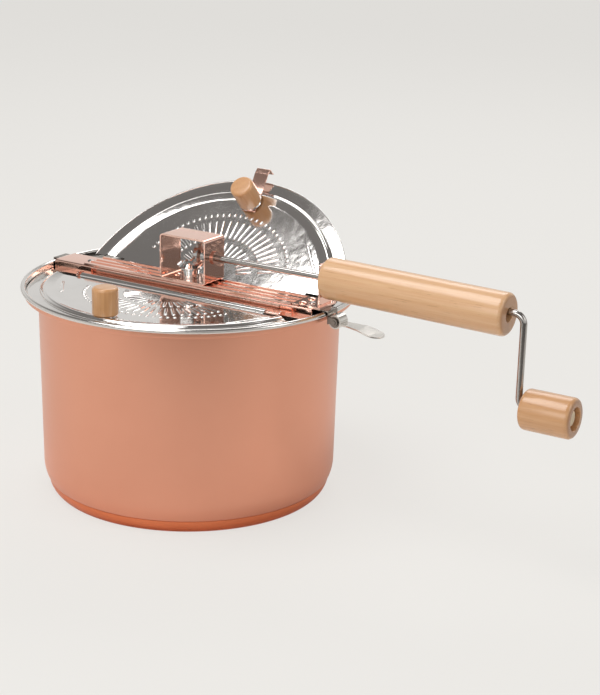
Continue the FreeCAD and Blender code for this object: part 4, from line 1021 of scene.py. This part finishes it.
    @staticmethod
    def join(shape: Shape, other: Shape, place: Matrix) -> None:
        """Add another mesh in its place.

        Args:
            shape: The mesh that grows.
            other: The mesh to add, which is freed.
            place: Where it goes.
        """
        bmesh.ops.transform(other, matrix=place, verts=other.verts)
        held = bpy.data.meshes.new("held")
        other.to_mesh(held)
        other.free()
        shape.from_mesh(held)
        bpy.data.meshes.remove(held)


@dataclass
class TurnedWood:
    """A turned wooden piece: its outline, and where its own Z axis goes."""

    shaper: Shaper
    name: str
    node: str
    body: Body
    finish: str
    outline: list[Point]
    place: Matrix
    steps: int = 128

    def build(self) -> None:
        """Turn the wood and set it in place."""
        shape = self.shaper.turn(self.outline, self.steps)
        bmesh.ops.transform(shape, matrix=self.place, verts=shape.verts)
        self.shaper.soften(shape)
        self.shaper.finish(self.name, shape, [self.finish], self.body, (self.node,))


@dataclass(frozen=True)
class CrankRod:
    """The one steel rod from the gear through the grip, down the arm and into the knob."""

    shaper: Shaper
    radius: float = 2.38
    tip_share: float = 0.86
    tip_length: float = 0.35
    start: float = 3.0
    arm: float = 269.0
    height: float = 177.6
    throw: float = 64.1
    bend: float = 7.0
    end: float = 306.3

    def build(self) -> None:
        """Draw the rod out from one ring, straight and round its two bends."""
        shape = bmesh.new()
        ring = bmesh.ops.create_circle(shape, cap_ends=True, segments=32,
                                       radius=self.radius * self.tip_share)
        turn = Matrix.Rotation(QUARTER_TURN, 4, "Y")
        bmesh.ops.transform(shape, verts=ring["verts"],
                            matrix=Matrix.Translation((self.start, 0, self.height)) @ turn)
        edges = self.push(shape, shape.edges[:], (self.tip_length, 0, 0))
        rim = list({vert for edge in edges for vert in edge.verts})
        bmesh.ops.scale(shape, vec=(1, 1 / self.tip_share, 1 / self.tip_share), verts=rim,
                        space=Matrix.Translation((0, 0, -self.height)))
        before, after = self.arm - self.bend, self.arm + self.bend
        low = self.height - self.throw
        edges = self.push(shape, edges, (before - self.start - self.tip_length, 0, 0))
        edges = self.bow(shape, edges, (before, 0, self.height - self.bend), 1)
        edges = self.push(shape, edges, (0, 0, -self.throw + 2 * self.bend))
        edges = self.bow(shape, edges, (after, 0, low + self.bend), -1)
        edges = self.push(shape, edges, (self.end - after, 0, 0))
        bmesh.ops.contextual_create(shape, geom=edges)
        bmesh.ops.recalc_face_normals(shape, faces=shape.faces)
        self.shaper.soften(shape)
        self.shaper.finish("crank_rod_surface", shape, ["bar_steel"], Body.CRANK, ("crank_rod",))

    @staticmethod
    def push(shape: Shape, edges: list, move: Spot) -> list:
        """Draw a ring of edges out in a straight run.

        Args:
            shape: The rod's mesh.
            edges: The ring at its open end.
            move: How far the ring goes.

        Returns:
            The new ring.
        """
        grown = bmesh.ops.extrude_edge_only(shape, edges=edges)["geom"]
        verts = [item for item in grown if isinstance(item, bmesh.types.BMVert)]
        bmesh.ops.translate(shape, vec=move, verts=verts)
        return [item for item in grown if isinstance(item, bmesh.types.BMEdge) and
                all(vert in grown for vert in item.verts)]

    @staticmethod
    def bow(shape: Shape, edges: list, centre: Spot,
            way: int) -> list:
        """Draw a ring of edges round a quarter bend.

        Args:
            shape: The rod's mesh.
            edges: The ring at its open end.
            centre: The bend's centre.
            way: 1 to turn down, -1 to turn back level.

        Returns:
            The new ring.
        """
        grown = bmesh.ops.spin(shape, geom=edges, cent=centre, axis=(0, 1, 0), dvec=(0, 0, 0),
                               angle=QUARTER_TURN * way, steps=14, use_merge=False,
                               use_duplicate=False)
        return [item for item in grown["geom_last"] if isinstance(item, bmesh.types.BMEdge)]


@dataclass(frozen=True)
class WoodSet:
    """The grip, the crank knob and the two lid knobs, in millimetres."""

    shaper: Shaper
    tilt: Matrix
    grip: Point = (14.9, 141.0)
    grip_round: float = 3.4
    grip_bore: float = 5.0
    grip_droop: float = 1.1
    knob: Point = (14.1, 36.5)
    knob_round: float = 3.2
    knob_bore: float = 2.46
    counterbore: float = 8.0
    lid_knob: Point = (9.2, 19.5)
    lid_knob_round: float = 2.4
    screw_bore: float = 2.08
    screw_depth: float = 12.1
    seat_gap: float = 0.8
    bevel: float = 0.4

    GRIP_PLACE = (117.4, 0, 178.2)
    KNOB_PLACE = (273.5, 0, 113.5)
    SEAT_HEIGHT = 153.3

    def build(self) -> None:
        """Turn all four."""
        shut = Matrix.Translation((LID_SHIFT, LID_KNOB_REACH, self.SEAT_HEIGHT))
        half_turn = Matrix.Rotation(math.pi, 4, "Z")
        droop = Matrix.Rotation(QUARTER_TURN + math.radians(self.grip_droop), 4, "Y")
        level = Matrix.Rotation(QUARTER_TURN, 4, "Y")
        lid_knob = self.lid_knob_outline()
        pieces = (
            ("grip_wood", "handle_grip", Body.PAN, "handle_wood", self.grip_outline(),
             Matrix.Translation(self.GRIP_PLACE) @ droop),
            ("crank_knob_wood", "crank_knob", Body.CRANK_KNOB, "crank_knob_wood",
             self.knob_outline(), Matrix.Translation(self.KNOB_PLACE) @ level),
            ("front_knob_wood", "front_knob", Body.FRONT_LID, "front_knob_wood", lid_knob,
             half_turn @ shut),
            ("rear_knob_wood", "rear_knob", Body.REAR_LID, "rear_knob_wood", lid_knob,
             self.tilt @ Matrix.Translation((0, 0, self.seat_gap)) @ shut),
        )
        for name, node, body, finish, outline, place in pieces:
            TurnedWood(self.shaper, name, node, body, finish, outline, place).build()

    def rounded(self, radius: float, length: float, corner: float) -> tuple[list, list]:
        """Draw the rounded corners at both ends of a turned piece.

        Args:
            radius: The piece's radius.
            length: The piece's length.
            corner: The corners' radius.

        Returns:
            The points of the low corner and of the high corner.
        """
        arc = self.shaper.arc
        return (arc((radius - corner, corner), corner, -90, 0, 10),
                arc((radius - corner, length - corner), corner, 0, 90, 10))

    def grip_outline(self) -> list[Point]:
        """Draw a plain round grip, bored through, with rounded ends.

        Returns:
            The outline's points.
        """
        radius, length = self.grip
        bore = self.grip_bore
        low, high = self.rounded(radius, length, self.grip_round)
        middle = [(radius, length * share) for share in (0.25, 0.5, 0.75)]
        mouth = [(bore + self.bevel, length), (bore, length - self.bevel)]
        return [(bore, 0.0), (radius - self.grip_round, 0.0)] + low + middle + high + mouth

    def knob_outline(self) -> list[Point]:
        """Draw the crank knob with its counterbore at the free end.

        Returns:
            The outline's points.
        """
        radius, length = self.knob
        bore, wide = self.knob_bore, self.counterbore
        low, high = self.rounded(radius, length, self.knob_round)
        inner = [(bore, 4.5), (4.0, 4.5), (4.0, 0.0), (radius - self.knob_round, 0.0)]
        mouth = [(wide + self.bevel, length), (wide, length - self.bevel), (wide, length - 6.0),
                 (bore, length - 6.0)]
        return inner + low + high + mouth

    def lid_knob_outline(self) -> list[Point]:
        """Draw a lid knob with a softly rounded top edge.

        Returns:
            The outline's points.
        """
        radius, length = self.lid_knob
        bore, depth = self.screw_bore, self.screw_depth
        low = [(bore, 0.0), (radius - 0.8, 0.0), (radius - 0.2, 0.25), (radius, 0.8)]
        high = self.rounded(radius, length, self.lid_knob_round)[1]
        return low + high + [(0.0, length), (0.0, depth), (bore, depth)]


CAD_NODES = {
    "satin_copper": ("pan_shell",),
    "base_copper": ("base_disc",),
    "polished_copper": (
        "crossbar_strap", "crossbar_channel", "crossbar_cover", "gear_bracket", "bracket_rivets",
        "crank_bushing", "handle_bracket", "handle_bracket_rivets", "front_hinge_pin",
        "rear_lid_clip", "rear_hinge_pin",
    ),
    "small_steel": (
        "crossbar_rivet", "driven_gear_pin", "drive_gear_pin", "thrust_washer", "shaft_clip",
        "handle_screws", "latch_rivet", "front_knob_screw", "rear_knob_screw",
    ),
    "clip_steel": ("rim_hook", "latch_clip", "latch_pin"),
    "gear_steel": ("driven_gear", "drive_gear", "stirrer_hub"),
    "bearing_metal": ("stirrer_bush",),
    "bar_steel": ("stirrer_shaft", "stirrer_wires", "crank_rod"),
    "crank_knob_wood": ("crank_knob",),
    "pale_cap": ("rod_end_cap",),
    "handle_wood": ("handle_grip",),
    "tab_steel": ("latch_lever",),
    "lid_steel": ("front_lid", "rear_lid"),
    "front_knob_wood": ("front_knob",),
    "rear_knob_wood": ("rear_knob",),
}
CAD_FINISHES = {node: finish for finish, nodes in CAD_NODES.items() for node in nodes}

SHEET_METAL = {
    "crossbar_strap": Body.PAN,
    "crossbar_channel": Body.PAN,
    "crossbar_cover": Body.PAN,
    "gear_bracket": Body.PAN,
    "handle_bracket": Body.PAN,
    "rim_hook": Body.PAN,
    "latch_clip": Body.PAN,
    "latch_lever": Body.LATCH,
    "rear_lid_clip": Body.REAR_LID,
}


def main() -> None:
    """Build the popper's looks, then its studio."""
    logging.basicConfig(level=logging.INFO, format="%(message)s")
    Studio().build()
    finishes = Finishes()
    for node, finish in CAD_FINISHES.items():
        finishes.dress(node, finish)
    shaper = Shaper(finishes)
    hinge = Matrix.Translation((0.0, *HINGE))
    opened = Matrix.Rotation(math.radians(REAR_LID_ANGLE), 4, "X")
    tilt = hinge @ opened @ hinge.inverted()
    flipped = Matrix.Rotation(math.pi, 4, "Z")
    Pan(shaper).build()
    HalfLid(shaper, "front_lid_sheet", "front_lid", Body.FRONT_LID, flipped).build()
    HalfLid(shaper, "rear_lid_sheet", "rear_lid", Body.REAR_LID, tilt).build()
    WoodSet(shaper, tilt).build()
    CrankRod(shaper).build()
    for node, body in SHEET_METAL.items():
        shaper.softened_copy(node, CAD_FINISHES[node], body)


if __name__ == "__main__":
    main()
